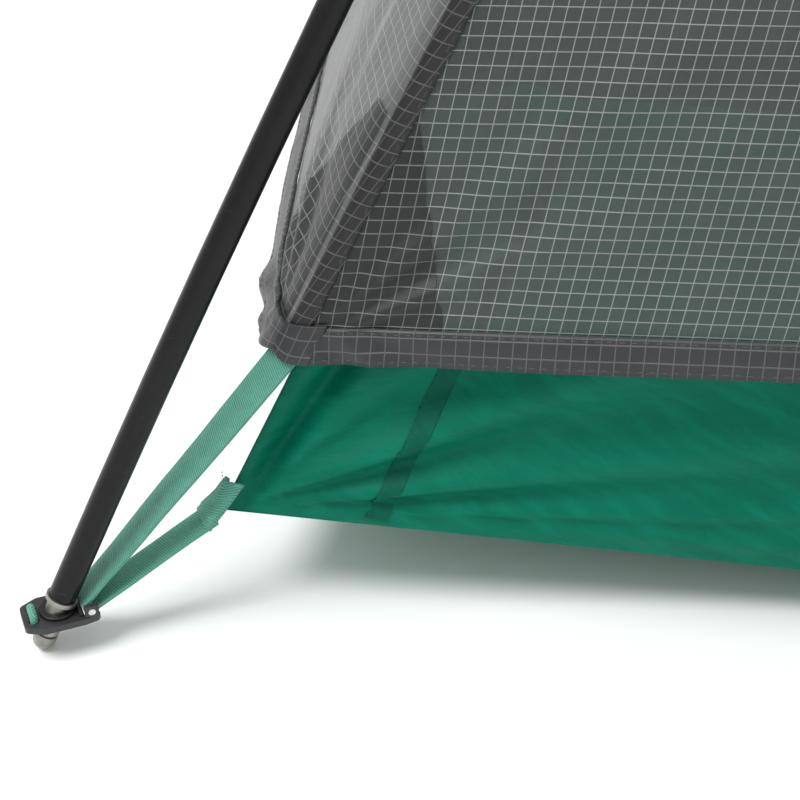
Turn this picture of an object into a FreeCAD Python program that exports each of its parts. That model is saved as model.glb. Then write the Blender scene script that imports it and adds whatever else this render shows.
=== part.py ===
import FreeCAD, Part
import math
import os
from FreeCAD import Placement, Rotation, Vector

# Free-standing shelter for two: a rectangular bathtub floor and a grey canopy hung under two
# crossing pole arches that stand outside it. Each of the four corners is held by a V of webbing
# looped round a bar in a small foot plate, and the pole's tip stands through the plate.
# Millimetres. X runs along the shelter and Y across it; Z is up. The origin is on the ground, at
# the centre of the shelter.

# ---- driving dimensions: poles
foot_span_x = 2150.0          # between the tips' centres, along the shelter
foot_span_y = 1330.0          # and across it
foot_angle = 64.0             # degrees above the ground at which a pole leaves its foot
sections_per_pole = 8
pole_diameter = 8.5
pole_wall = 0.65
section_gap = 0.2             # between the ends of neighbouring sections
ferrule_fit = 0.05            # radial clearance of ferrule and tip shank in the tube
ferrule_wall = 0.8
ferrule_length = 60.0
shock_cord_diameter = 2.5
crossing_gap = 1.5            # between the two poles where they cross
hub_diameter = 30.0
hub_wall = 3.0
pole_fit = 0.15               # radial clearance of hub and clips round a pole

# ---- pole tips and foot plates
tip_diameter = 7.0
tip_shoulder_diameter = 9.6
tip_shoulder_height = 1.4
tip_exposed = 16.2            # from the centre of the round end to the tube's end
tip_shank_length = 20.0
tip_shank_diameter = 6.6
groove_from_end = 2.2
groove_width = 1.0
groove_depth = 0.6
plate_height = 11.1           # underside above the ground
plate_thickness = 2.2
plate_width = 14.6
plate_outer_length = 9.8      # from the bore outwards
plate_inner_length = 12.6     # and inwards
plate_end_width = 9.6
bore_fit = 0.1                # radial clearance of plate and grommet on the tip
grommet_diameter = 11.0
grommet_height = 1.2
bar_diameter = 2.2
bar_from_bore = 10.0
bar_above_plate = 1.8
lug_thickness = 1.4
lug_length = 4.2
wedge_height = 1.2
wedge_thickness = 0.9
wedge_from_bore = 6.9
loop_from_bore = 6.7          # outwards, to the two holes of the stake loop
plate_taper = 5.4             # length over which the outer end narrows
plate_end_taper = 5.0
plate_end_inset = 0.8
plate_corner_radius = 1.8
lug_cover = 1.1               # of the lugs above the bar
lug_inset = 0.4               # from the plate's sides
window_margin = 0.3           # round the webbing, in the fork that holds the bar
wedge_margin = 0.8
grommet_offset = 0.8
grommet_round = 0.4
loop_bend = 1.3
past = 1.0                    # by which a cutter runs past what it cuts

# ---- webbing
webbing_width = 10.0
webbing_thickness = 1.2
bar_clearance = 0.15
strap_inset = 3.4             # of the webbing's upper end from the canopy's corner
strap_below_hem = 1.5
strap_short = 2.0             # by which its lower end stops before the floor's corner
strap_below_corner = 1.0
tab_length = 8.0
tab_thickness = 2.6
tab_margin = 0.75             # each side of the webbing
tab_wall = 1.5                # at the tab's closed end
sewn_gap = 0.2                # between pieces that are sewn face to face
loop_cord = 2.4
loop_half_width = 2.6
loop_fit = 0.4

# ---- canopy
canopy_drop = 28.3            # from the pole's axis to the canopy's ridge, square to the pole
canopy_thickness = 0.8
hem_height = 86.6             # of the hem's lower edge, at a corner
hem_depth = 9.5
hem_thickness = 1.6
hem_rise = 25.0               # by which the hem climbs towards the middle of a side
long_bow = 16.0               # by which a long panel bows inwards
end_belly = 50.0              # by which an end panel's hem stands out
crown_half_gap = 70.0         # of each ridge left for the crown patch
ridge_gap = 1.5               # between two panels at a ridge
patch_width = 38.0
patch_height = 75.0
patch_thickness = 0.8
patch_inset = 1.7             # from the canopy's outer corner
patch_taper = 0.6             # of its width that is lost over its height
crown_margin = 2.0            # from the patch to the ridges
skin_gap = 0.5                # between layers that lie on each other

# ---- floor
floor_inset = 8.0             # of the floor's corner edge from the canopy's ridge, square to the pole
corner_lift = 36.8            # of the floor's corners above the ground
wall_top = 163.0
floor_thickness = 1.0
base_bow = 55.0               # by which the floor's lower edge runs inwards of its corners
wall_bow = 20.0               # the same at the top of its walls
edge_run = 500.0              # from a corner to where the edge lies on the ground
corner_seam = 42.0            # from the corner edge to the seam of the corner piece
seam_gap = 0.3
base_inset = 2.5              # of the groundsheet's edge from the walls' outer faces
wall_rows = (0.0, 1 / 3, 2 / 3, 1.0)

# ---- door zip, in the middle of the front panel
zip_run = 560.0               # length of ridge beside it
zip_slot = 26.0
tape_width = 12.0
chain_gap = 1.2
chain_width = 2.4
chain_thickness = 2.4
slider_length = 12.0
slider_width = 9.0
slider_thickness = 6.0
slider_fit = 0.3
slider_start = 14.0           # above the hem's top
puller_length = 28.0
puller_thickness = 1.4
bridge_height = 2.2           # of the slider's bridge above its body
bridge_from_end = 2.5
bridge_spacing = 6.0          # between the bridge's two posts
bridge_post = 1.2
bridge_post_length = 2.0
slider_post_inset = 2.0
pin_radius = 0.5
pin_fit = 0.08
pin_depth = 0.9
eye_radius = 1.2
eye_width = 4.2
slot_below = 60.0             # of the door's slot below the hem's top

clip_stations = (330.0, 700.0, 1060.0, 1400.0)   # along the pole from its foot
clip_length = 12.0
clip_wall = 1.9
clip_mouth = 5.0
clip_mouth_turn = 40.0        # degrees from the stem's opposite side
clip_stem_short = 7.0         # from the stem's end to the ridge seam
tape_clip_width = 10.0

tip_radius = tip_diameter / 2
pole_radius = pole_diameter / 2
tube_bore_radius = pole_radius - pole_wall
ferrule_radius = tube_bore_radius - ferrule_fit
half_x = foot_span_x / 2
half_y = foot_span_y / 2
half_diagonal = math.hypot(half_x, half_y)
diagonal_angle = math.atan2(half_y, half_x)
diagonal_x = math.cos(diagonal_angle)
diagonal_y = math.sin(diagonal_angle)
foot_slope = math.radians(foot_angle)
floor_drop = canopy_drop + floor_inset

corner_names = ("front_left", "front_right", "back_right", "back_left")
corner_signs = ((-1, -1), (1, -1), (1, 1), (-1, 1))


# ---- arches: each half is a chain of tangent arcs, one per section
class Bend:
    """One pole section: an arc in the arch's own plane, from slope to slope."""

    def __init__(self, start, slope, end_slope, length):
        self.start = start
        self.slope = slope
        self.length = length
        self.radius = length / (slope - end_slope)

    def slope_at(self, along):
        return self.slope - along / self.radius

    def point_at(self, along):
        turned = self.slope_at(along)
        run = self.radius * (math.sin(self.slope) - math.sin(turned))
        rise = self.radius * (math.cos(turned) - math.cos(self.slope))
        return Vector(self.start.x + run, 0, self.start.z + rise)


def half_arch(foot_slope, sections=sections_per_pole):
    """A strut that buckles between its feet: its slope follows a cosine of the length."""
    half = sections // 2
    slopes = [foot_slope * math.cos(math.pi * i / sections) for i in range(half + 1)]
    run = sum((math.sin(a) - math.sin(b)) / (a - b) for a, b in zip(slopes, slopes[1:]))
    length = half_diagonal / run
    bends = []
    start = Vector(0, 0, tip_radius)
    for a, b in zip(slopes, slopes[1:]):
        bends.append(Bend(start, a, b, length))
        start = bends[-1].point_at(length)
    return bends


def crown_height(bends):
    return bends[-1].point_at(bends[-1].length).z


def arch_with_crown(height):
    """The half arch whose crown stands at a height, found by halving the range of slopes."""
    low, high = foot_slope, foot_slope * 1.2
    while high - low > 1e-9:
        middle = (low + high) / 2
        if crown_height(half_arch(middle)) < height:
            low = middle
        else:
            high = middle
    return half_arch(low)


lower_arch = half_arch(foot_slope)
upper_arch = arch_with_crown(crown_height(lower_arch) + pole_diameter + crossing_gap)


def on_arch(bends, along):
    """Point and slope at a length from the foot."""
    index = min(int(along / bends[0].length), len(bends) - 1)
    rest = along - index * bends[0].length
    return bends[index].point_at(rest), bends[index].slope_at(rest)


def bent_rod(bend, begin, end, radius):
    """A round rod along part of a section."""
    centre = bend.start + Vector(math.sin(bend.slope), 0, -math.cos(bend.slope)) * bend.radius
    slope = bend.slope_at(begin)
    tangent = Vector(math.cos(slope), 0, math.sin(slope))
    circle = Part.makeCircle(radius, bend.point_at(begin), tangent)
    disc = Part.Face(Part.Wire([circle]))
    return disc.revolve(centre, Vector(0, 1, 0), math.degrees((end - begin) / bend.radius))


def bent_tube(bend, begin, end, radius, bore):
    return bent_rod(bend, begin, end, radius).cut(bent_rod(bend, begin, end, bore))


def turned_over(shape):
    """The same piece in the arch's far half."""
    return shape.mirror(Vector(half_diagonal, 0, 0), Vector(1, 0, 0))


def stood(shape, corner):
    """From an arch's own plane, which starts at a foot, to that foot's corner of the shelter."""
    sign_x, sign_y = corner_signs[corner]
    heading = math.degrees(math.atan2(-sign_y * diagonal_y, -sign_x * diagonal_x))
    foot = Vector(sign_x * half_x, sign_y * half_y, 0)
    moved = shape.copy()
    moved.Placement = Placement(foot, Rotation(Vector(0, 0, 1), heading)).multiply(moved.Placement)
    return moved


# ---- thin sheets: closed solids between two grids of points
def triangle_faces(a, b, c, d):
    faces = []
    for corners in ((a, b, c), (a, c, d)):
        if (corners[1] - corners[0]).cross(corners[2] - corners[0]).Length > 1e-6:
            faces.append(Part.Face(Part.makePolygon(list(corners) + [corners[0]])))
    return faces


def sheet(outer, inner):
    """A solid between two grids with the same rows and columns."""
    rows, columns = len(outer), len(outer[0])
    faces = []
    for r in range(rows - 1):
        for c in range(columns - 1):
            for grid in (outer, inner):
                faces += triangle_faces(grid[r][c], grid[r][c + 1], grid[r + 1][c + 1], grid[r + 1][c])
    border = [(0, c) for c in range(columns)]
    border += [(r, columns - 1) for r in range(1, rows)]
    border += [(rows - 1, c) for c in range(columns - 2, -1, -1)]
    border += [(r, 0) for r in range(rows - 2, -1, -1)]
    for (r, c), (s, d) in zip(border, border[1:]):
        faces += triangle_faces(outer[r][c], outer[s][d], inner[s][d], inner[r][c])
    solid = Part.makeSolid(Part.makeShell(faces))
    if solid.Volume < 0:
        solid.reverse()
    return solid


def mirrored_pair(shape, direction):
    return [shape, shape.mirror(Vector(0, 0, 0), direction)]


def four_corners(shape):
    """A piece of the front left corner, in all four."""
    pair = mirrored_pair(shape, Vector(1, 0, 0))
    return pair + [piece.mirror(Vector(0, 0, 0), Vector(0, 1, 0)) for piece in pair]


def fade(distance):
    """1 at a corner, 0 from edge_run onwards."""
    return max(0.0, 1 - distance / edge_run) ** 1.5


def stations(half_length, first=0.0):
    """Distances from a corner to the middle of a side, closer together near the corner."""
    near = [first, 110.0, 220.0, 360.0, edge_run]
    return near + [half_length]


def ridge(along, drop):
    """Canopy or floor ridge under the lower arch: distance from the foot, height and slope."""
    point, slope = on_arch(lower_arch, along)
    return point.x + drop * math.sin(slope), point.z - drop * math.cos(slope), slope


def length_to_height(height, drop):
    """How far along the first, nearly straight section a ridge reaches a height."""
    low, high = 0.0, 2 * lower_arch[0].length
    while high - low > 1e-6:
        middle = (low + high) / 2
        if ridge(middle, drop)[1] < height:
            low = middle
        else:
            high = middle
    return low


# ---- poles
def pole_sections(bends, corner, name):
    for index, bend in enumerate(bends):
        begin = tip_exposed + section_gap if index == 0 else section_gap / 2
        end = bend.length - section_gap / 2
        tube = bent_tube(bend, begin, end, pole_radius, tube_bore_radius)
        export(f"{name}_section_{index + 1}", [stood(tube, corner)])
        export(f"{name}_section_{sections_per_pole - index}", [stood(turned_over(tube), corner)])


def ferrules(bends, corner):
    """Inner sleeves that join the sections."""
    half = ferrule_length / 2
    bore = ferrule_radius - ferrule_wall
    pieces = []
    for before, after in zip(bends, bends[1:]):
        lower = bent_tube(before, before.length - half, before.length, ferrule_radius, bore)
        upper = bent_tube(after, 0, half, ferrule_radius, bore)
        sleeve = lower.fuse(upper)
        pieces += [stood(sleeve, corner), stood(turned_over(sleeve), corner)]
    top = bends[-1]
    crown = bent_tube(top, top.length - half, top.length, ferrule_radius, bore)
    pieces.append(stood(crown.fuse(turned_over(crown)), corner))
    return pieces


def shock_cord(bends, corner):
    """Elastic cord through the whole pole, from shank to shank."""
    radius = shock_cord_diameter / 2
    start = tip_exposed + tip_shank_length + section_gap
    half = bent_rod(bends[0], start, bends[0].length, radius)
    for bend in bends[1:]:
        half = half.fuse(bent_rod(bend, 0, bend.length, radius))
    return [stood(half.fuse(turned_over(half)), corner)]


def crossing_hub():
    """Moulded block with one bore over the other, for the two poles."""
    low = crown_height(lower_arch)
    high = crown_height(upper_arch)
    block = Part.makeCylinder(hub_diameter / 2, high - low + pole_diameter + 2 * hub_wall,
                              Vector(0, 0, low - pole_radius - hub_wall))
    for height, sign in ((low, 1), (high, -1)):
        along = Vector(diagonal_x, sign * diagonal_y, 0)
        bore = Part.makeCylinder(pole_radius + pole_fit, 2 * hub_diameter,
                                 Vector(0, 0, height) - along * hub_diameter, along)
        block = block.cut(bore)
    return [block]


def pole_clip(bends, along):
    """C-shaped clip on a pole, with a stem towards the canopy."""
    point, slope = on_arch(bends, along)
    inner = pole_radius + pole_fit
    outer = inner + clip_wall
    centred = Vector(-clip_length / 2, 0, 0)
    shell = Part.makeCylinder(outer, clip_length, centred, Vector(1, 0, 0))
    stem_end = canopy_drop - clip_stem_short
    stem_corner = Vector(-clip_length / 2, -clip_wall / 2, -stem_end)
    stem = Part.makeBox(clip_length, clip_wall, stem_end, stem_corner)
    mouth = Part.makeBox(clip_length, clip_mouth, 2 * outer, Vector(-clip_length / 2, 0, 0))
    mouth.rotate(Vector(0, 0, 0), Vector(1, 0, 0), -clip_mouth_turn)
    bore = Part.makeCylinder(inner, clip_length, centred, Vector(1, 0, 0))
    clip = shell.fuse(stem).cut(bore).cut(mouth)
    clip.Placement = Placement(point, Rotation(Vector(0, 1, 0), -math.degrees(slope)))
    return clip


def clip_tape(bends, along):
    """Short tape from a clip's stem to the ridge seam."""
    point, slope = on_arch(bends, along)
    start = canopy_drop - clip_stem_short + sewn_gap
    end = canopy_drop - skin_gap
    tape = Part.makeBox(tape_clip_width, webbing_thickness, end - start,
                        Vector(-tape_clip_width / 2, -webbing_thickness / 2, -end))
    tape.Placement = Placement(point, Rotation(Vector(0, 1, 0), -math.degrees(slope)))
    return tape


def clip_sets(make):
    pieces = []
    for corner in range(len(corner_names)):
        bends = lower_arch if corner % 2 == 0 else upper_arch
        pieces += [stood(make(bends, along), corner) for along in clip_stations]
    return pieces


# ---- corner hardware, in the arch's plane with the foot's centre at the origin
plate_top = plate_height + plate_thickness
tip_centre = Vector(0, 0, tip_radius)
wrap_radius = bar_diameter / 2 + bar_clearance + webbing_thickness / 2


def box_on_plate(length, width, height, x, y=0.0, z=plate_top):
    """A box by its length and width about a point of the plate."""
    return Part.makeBox(length, width, height, Vector(x - length / 2, y - width / 2, z))


class Foot:
    """Tip, plate and webbing at one foot; they follow the slope at which the pole arrives."""

    def __init__(self, slope):
        self.axis = Vector(math.cos(slope), 0, math.sin(slope))
        self.bore_x = (plate_height + plate_thickness / 2 - tip_radius) / math.tan(slope)
        self.bar = Vector(self.bore_x + bar_from_bore, 0, plate_top + bar_above_plate)

    def along_tip(self, distance):
        return tip_centre + self.axis * distance

    def rod(self, radius, start, length):
        return Part.makeCylinder(radius, length, self.along_tip(start), self.axis)

    def oblique_bore(self):
        """Cutter along the tip, through plate and grommet."""
        return self.rod(tip_radius + bore_fit, -tip_radius, tip_exposed + tip_shank_length)

    def pole_tip(self):
        tip = Part.makeSphere(tip_radius, tip_centre)
        tip = tip.fuse(self.rod(tip_radius, 0, tip_exposed))
        tip = tip.fuse(self.rod(tip_shank_diameter / 2, 0, tip_exposed + tip_shank_length))
        shoulder_start = tip_exposed - tip_shoulder_height
        shoulder = self.rod(tip_shoulder_diameter / 2, shoulder_start, tip_shoulder_height)
        ring = self.rod(tip_diameter, groove_from_end, groove_width)
        core = self.rod(tip_radius - groove_depth, groove_from_end, groove_width)
        return tip.fuse(shoulder).cut(ring.cut(core)).removeSplitter()

    def foot_plate(self):
        """Lozenge with a narrow outer end and a forked inner one that holds the bar in two lugs."""
        wide, narrow = plate_width / 2, plate_end_width / 2
        half = ((-plate_outer_length, narrow), (-plate_outer_length + plate_taper, wide),
                (plate_inner_length - plate_end_taper, wide),
                (plate_inner_length, wide - plate_end_inset))
        points = [Vector(self.bore_x + x, y, plate_height) for x, y in half]
        points += [Vector(self.bore_x + x, -y, plate_height) for x, y in reversed(half)]
        outline = Part.Face(Part.makePolygon(points + [points[0]]))
        plate = outline.extrude(Vector(0, 0, plate_thickness))
        upright = [e for e in plate.Edges if abs(e.Vertexes[0].Z - e.Vertexes[-1].Z) > past]
        plate = plate.makeFillet(plate_corner_radius, upright)
        lug_height = bar_above_plate + bar_diameter / 2 + lug_cover
        for side in (-1, 1):
            y = side * (plate_width / 2 - lug_thickness / 2 - lug_inset)
            plate = plate.fuse(box_on_plate(lug_length, lug_thickness, lug_height, self.bar.x, y))
        wedge_width = webbing_width + 2 * wedge_margin
        wedge = box_on_plate(wedge_thickness, wedge_width, wedge_height, self.bore_x + wedge_from_bore)
        below = plate_height - past
        through = plate_thickness + 2 * past
        fork_start = self.bar.x - wrap_radius - webbing_thickness / 2 + window_margin
        fork_length = self.bore_x + plate_inner_length + past - fork_start
        fork_width = webbing_width + 2 * window_margin
        fork = box_on_plate(fork_length, fork_width, through, fork_start + fork_length / 2, z=below)
        bar_start = self.bar - Vector(0, plate_width / 2, 0)
        bar_hole = Part.makeCylinder(bar_diameter / 2, plate_width, bar_start, Vector(0, 1, 0))
        plate = plate.fuse(wedge).cut(fork).cut(self.oblique_bore()).cut(bar_hole)
        for side in (-1, 1):
            hole_centre = Vector(self.bore_x - loop_from_bore, side * loop_half_width, below)
            plate = plate.cut(Part.makeCylinder(loop_cord / 2 + loop_fit, through, hole_centre))
        return plate.removeSplitter()

    def grommet(self):
        """Flanged ring on the plate, round the tip."""
        centre = Vector(self.bore_x + grommet_offset, 0, plate_top)
        ring = Part.makeCylinder(grommet_diameter / 2, grommet_height, centre)
        rim = [e for e in ring.Edges if e.BoundBox.ZMin > plate_top + grommet_height / 2 and e.Closed]
        return ring.makeFillet(grommet_round, rim[:1]).cut(self.oblique_bore())

    def webbing_bar(self):
        length = plate_width - 2 * lug_inset
        start = self.bar - Vector(0, length / 2, 0)
        return Part.makeCylinder(bar_diameter / 2, length, start, Vector(0, 1, 0))

    def stake_loop(self):
        """Cord through the plate's two outer holes, closed under the plate."""
        radius = loop_cord / 2
        x = self.bore_x - loop_from_bore
        top = plate_top + radius + loop_fit
        bottom = plate_height - radius - loop_fit
        side, inset = loop_half_width, loop_half_width - loop_bend
        short = loop_bend * (1 - math.sqrt(0.5))
        turns = (((inset, top), (side - short, top - short), (side, top - loop_bend)),
                 ((side, bottom + loop_bend), (side - short, bottom + short), (inset, bottom)),
                 ((-inset, bottom), (-side + short, bottom + short), (-side, bottom + loop_bend)),
                 ((-side, top - loop_bend), (-side + short, top - short), (-inset, top)))
        edges = []
        last = turns[-1][2]
        for turn in turns:
            start, middle, end = [Vector(x, y, z) for y, z in turn]
            edges.append(Part.LineSegment(Vector(x, *last), start).toShape())
            edges.append(Part.Arc(start, middle, end).toShape())
            last = turn[2]
        circle = Part.Wire([Part.makeCircle(radius, Vector(x, -inset, top), Vector(0, 1, 0))])
        return Part.Wire(edges).makePipeShell([circle], True, False)

    def leg_direction(self, end, side):
        run = end - self.bar
        return math.atan2(run.z, run.x) - side * math.asin(wrap_radius / run.Length)

    def leg(self, end, side):
        """Flat webbing from the bar's wrap to a point; side is 1 over the bar and -1 under it."""
        length = math.sqrt((end - self.bar).Length ** 2 - wrap_radius ** 2)
        strip = Part.makeBox(length, webbing_width, webbing_thickness,
                             Vector(0, -webbing_width / 2, side * wrap_radius - webbing_thickness / 2))
        turned = Rotation(Vector(0, 1, 0), -math.degrees(self.leg_direction(end, side)))
        strip.Placement = Placement(self.bar, turned)
        return strip

    def corner_strap(self):
        """One length of webbing: canopy corner, round the bar, floor corner."""
        upper = self.leg_direction(strap_top, 1)
        lower = self.leg_direction(strap_bottom, -1)
        start = Vector(-math.sin(upper), 0, math.cos(upper))
        across = Vector(0, webbing_width / 2, 0)
        near = self.bar + start * (wrap_radius - webbing_thickness / 2)
        far = self.bar + start * (wrap_radius + webbing_thickness / 2)
        section = Part.makePolygon([near - across, far - across, far + across, near + across,
                                    near - across])
        turn = math.degrees(math.pi - (upper - lower))
        wrap = Part.Face(section).revolve(self.bar, Vector(0, -1, 0), turn)
        return self.leg(strap_top, 1).fuse(self.leg(strap_bottom, -1)).fuse(wrap)

    def strap_tab(self):
        """Folded end tab that is sewn to the floor's corner, round the strap's lower end."""
        direction = self.leg_direction(strap_bottom, -1)
        width = webbing_width + 2 * tab_margin
        tab = Part.makeBox(tab_length, width, tab_thickness, Vector(0, -width / 2, -tab_thickness / 2))
        room = webbing_thickness + 2 * sewn_gap
        sleeve = Part.makeBox(tab_length - tab_wall, webbing_width + 2 * sewn_gap, room,
                              Vector(0, -webbing_width / 2 - sewn_gap, -room / 2))
        tab = tab.cut(sleeve)
        along = Vector(math.cos(direction), 0, math.sin(direction))
        turned = Rotation(Vector(0, 1, 0), -math.degrees(direction))
        tab.Placement = Placement(strap_bottom - along * (tab_length - strap_short), turned)
        return tab


feet = [Foot(arch[0].slope) for arch in (lower_arch, upper_arch, lower_arch, upper_arch)]


# ---- where the webbing is sewn on
floor_corner_along = length_to_height(corner_lift, floor_drop)
floor_corner_x, floor_corner_z, _ = ridge(floor_corner_along, floor_drop)
strap_bottom = Vector(floor_corner_x - strap_short, 0, floor_corner_z - strap_below_corner)
hem_corner_x = ridge(length_to_height(hem_height, canopy_drop), canopy_drop)[0]
strap_top = Vector(hem_corner_x + strap_inset, 0, hem_height - strap_below_hem)


# ---- canopy: rows of ridge stations, panels between ridges
half_pole = len(lower_arch) * lower_arch[0].length
crown_along = half_pole - crown_half_gap
hem_along = length_to_height(hem_height + hem_depth, canopy_drop)
low_rows = 4
high_rows = 5
canopy_rows = [hem_along + zip_run * i / low_rows for i in range(low_rows)]
canopy_rows += [hem_along + zip_run + (crown_along - hem_along - zip_run) * i / high_rows
                for i in range(high_rows + 1)]


def corner_at(along, drop):
    """Half extents, height and slope of a ridge's corner."""
    reach, height, slope = ridge(along, drop)
    return half_x - reach * diagonal_x, half_y - reach * diagonal_y, height, slope


hem_half_x, hem_half_y = corner_at(hem_along, canopy_drop)[:2]
zip_half_y, zip_top_height = corner_at(hem_along + zip_run, canopy_drop)[1:3]
zip_foot_height = hem_height + hem_depth + hem_rise
door_slope = (zip_half_y - hem_half_y) / (zip_top_height - zip_foot_height)


def rise_at(distance, along):
    """How far the hem climbs, fading out up the panel."""
    up = min(1.0, max(0.0, (along - hem_along) / zip_run))
    return hem_rise * (1 - fade(distance)) * (1 - up) ** 2


def long_bow_at(along, half_length, half_width, height):
    """Inward bow in the middle of a long panel; beside the zip it keeps the zip straight."""
    if along > hem_along + zip_run:
        return long_bow * half_width / zip_half_y
    middle_height = height + rise_at(half_length, along)
    straight = hem_half_y + door_slope * (middle_height - zip_foot_height)
    return long_bow + half_width - straight


def panel_stations(half_hem, half_row):
    """Shares of a row's half length; a row stops ridge_gap short of both ridges."""
    shares = [1 - distance / half_hem for distance in stations(half_hem)]
    shares[0] = 1 - ridge_gap / half_row
    return [-share for share in shares] + shares[-2::-1]


def long_panel(rows, thickness):
    """The front panel, its outer face first."""
    outer, inner = [], []
    for along in rows:
        hx, hy, height, slope = corner_at(along, canopy_drop)
        normal = Vector(0, math.sin(slope), -math.cos(slope) * diagonal_y).normalize()
        bow = long_bow_at(along, hx, hy, height)
        row = []
        for share in panel_stations(hem_half_x, hx):
            distance = (1 - abs(share)) * hx
            inward = bow * (1 - share * share)
            row.append(Vector(share * hx, -hy + inward, height + rise_at(distance, along)))
        outer.append(row)
        inner.append([point + normal * thickness for point in row])
    return sheet(outer, inner)


def end_panel(rows, thickness):
    """The left panel; its hem stands out from the corners."""
    outer, inner = [], []
    for along in rows:
        hx, hy, height, slope = corner_at(along, canopy_drop)
        normal = Vector(math.sin(slope), 0, -math.cos(slope) * diagonal_x).normalize()
        up = min(1.0, max(0.0, (along - hem_along) / zip_run))
        row = []
        for share in panel_stations(hem_half_y, hy):
            distance = (1 - abs(share)) * hy
            out = end_belly * math.cos(math.pi / 2 * share) * (1 - up) ** 2
            row.append(Vector(-hx - out, share * hy, height + rise_at(distance, along)))
        outer.append(row)
        inner.append([point + normal * thickness for point in row])
    return sheet(outer, inner)


def half_turn(shape):
    turned = shape.copy()
    turned.rotate(Vector(0, 0, 0), Vector(0, 0, 1), 180)
    return turned


def door_frame():
    """Placement whose X runs across the zip, Y out through the canopy and Z up the zip."""
    base = Vector(0, -hem_half_y + long_bow, zip_foot_height)
    top = Vector(0, -zip_half_y + long_bow, zip_top_height)
    up = (top - base).normalize()
    tilt = math.degrees(math.atan2(up.y, up.z))
    return Placement(base, Rotation(Vector(1, 0, 0), -tilt)), (top - base).Length


door_place, door_length = door_frame()


def in_door(shape):
    moved = shape.copy()
    moved.Placement = door_place.multiply(moved.Placement)
    return moved


def door_box(x, width, y, depth, z, height):
    """A box in the door's frame: each start with its size."""
    return Part.makeBox(width, depth, height, Vector(x, y, z))


def door_slot():
    return in_door(door_box(-zip_slot / 2, zip_slot, -zip_slot / 2, zip_slot,
                            -slot_below, slot_below + door_length))


def zip_tape(side):
    """Tape with its half of the chain; side is -1 or 1."""
    near = chain_gap / 2
    length = door_length - past
    tape = door_box(near, tape_width, 0, canopy_thickness, 0, length)
    chain = door_box(near, chain_width, zip_middle - chain_thickness / 2, chain_thickness, 0, length)
    half = tape.fuse(chain)
    if side < 0:
        half = half.mirror(Vector(0, 0, 0), Vector(1, 0, 0))
    return in_door(half)


zip_middle = canopy_thickness / 2
bridge_y = zip_middle - slider_thickness / 2 - bridge_height
pin_y = bridge_y + pin_depth
pin_z = slider_start + slider_length - bridge_from_end


def zip_slider():
    """Body closed round both chains, with a post between them."""
    front = zip_middle - slider_thickness / 2
    body = door_box(-slider_width / 2, slider_width, front, slider_thickness,
                    slider_start, slider_length)
    chain_room = chain_thickness + 2 * slider_fit
    chain_half = chain_gap / 2 + chain_width + slider_fit
    below = slider_start - past
    through = slider_length + 2 * past
    channel = door_box(-chain_half, 2 * chain_half, zip_middle - chain_room / 2, chain_room,
                       below, through)
    tape_room = canopy_thickness + 2 * slider_fit
    slot = door_box(-slider_width, 2 * slider_width, zip_middle - tape_room / 2, tape_room,
                    below, through)
    post_half = chain_gap / 2 - slider_fit
    post = door_box(-post_half, 2 * post_half, front, slider_thickness,
                    slider_start + slider_post_inset, slider_length - 2 * slider_post_inset)
    slider = body.cut(channel).cut(slot).fuse(post)
    for side in (-1, 1):
        x = (side * bridge_spacing - bridge_post) / 2
        slider = slider.fuse(door_box(x, bridge_post, bridge_y, bridge_height + pin_fit,
                                      pin_z - bridge_post_length / 2, bridge_post_length))
    pin_start = Vector(-bridge_spacing / 2, pin_y, pin_z)
    pin = Part.makeCylinder(pin_radius, bridge_spacing, pin_start, Vector(1, 0, 0))
    return in_door(slider.fuse(pin).removeSplitter())


def zip_puller():
    """Tab that hangs from the slider's pin."""
    start = Vector(-eye_width / 2, pin_y, pin_z)
    eye = Part.makeCylinder(eye_radius, eye_width, start, Vector(1, 0, 0))
    stem = door_box(-eye_width / 2, eye_width, pin_y - puller_thickness / 2, puller_thickness,
                    pin_z - puller_length, puller_length)
    hole = Part.makeCylinder(pin_radius + pin_fit, eye_width, start, Vector(1, 0, 0))
    return in_door(eye.fuse(stem).cut(hole))


def crown_patch():
    """Square cap under the crossing, over the panels' top edges."""
    hx, hy, height, slope = corner_at(crown_along, canopy_drop)
    hx, hy = hx - crown_margin, hy - crown_margin
    top = ridge(half_pole, canopy_drop)[1]
    grid = [[Vector(-hx, -hy, height), Vector(0, -hy, (height + top) / 2), Vector(hx, -hy, height)],
            [Vector(-hx, 0, (height + top) / 2), Vector(0, 0, top), Vector(hx, 0, (height + top) / 2)],
            [Vector(-hx, hy, height), Vector(0, hy, (height + top) / 2), Vector(hx, hy, height)]]
    lower = [[p - Vector(0, 0, canopy_thickness) for p in row] for row in grid]
    return [sheet(grid, lower)]


def corner_patch():
    """Doubling inside the canopy's corner."""
    outer, inner = [], []
    for up in wall_rows:
        hx, hy, height, _ = corner_at(hem_along + patch_height * up, canopy_drop)
        width = patch_width * (1 - patch_taper * up)
        bow = 2 * long_bow * width / hx
        for face, depth in ((outer, patch_inset), (inner, patch_inset + patch_thickness)):
            x, y = -hx + depth, -hy + depth
            face.append([Vector(x + width, y + bow, height), Vector(x, y, height),
                         Vector(x, y + width, height)])
    return sheet(outer, inner)


# ---- bathtub floor
top_along = length_to_height(wall_top, floor_drop)
low_half_x, low_half_y, low_height, _ = corner_at(floor_corner_along, floor_drop)
top_half_x, top_half_y, top_height, _ = corner_at(top_along, floor_drop)


def long_wall_point(distance, up):
    """Outer face of the front wall: distance from the left corner and share of the height."""
    spread = 1 - fade(distance)
    lower = Vector(-low_half_x + distance, -low_half_y + base_bow * spread, corner_lift * fade(distance))
    share = distance / low_half_x
    upper = Vector(-top_half_x + share * top_half_x, -top_half_y + wall_bow * spread, wall_top)
    return lower + (upper - lower) * up


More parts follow.
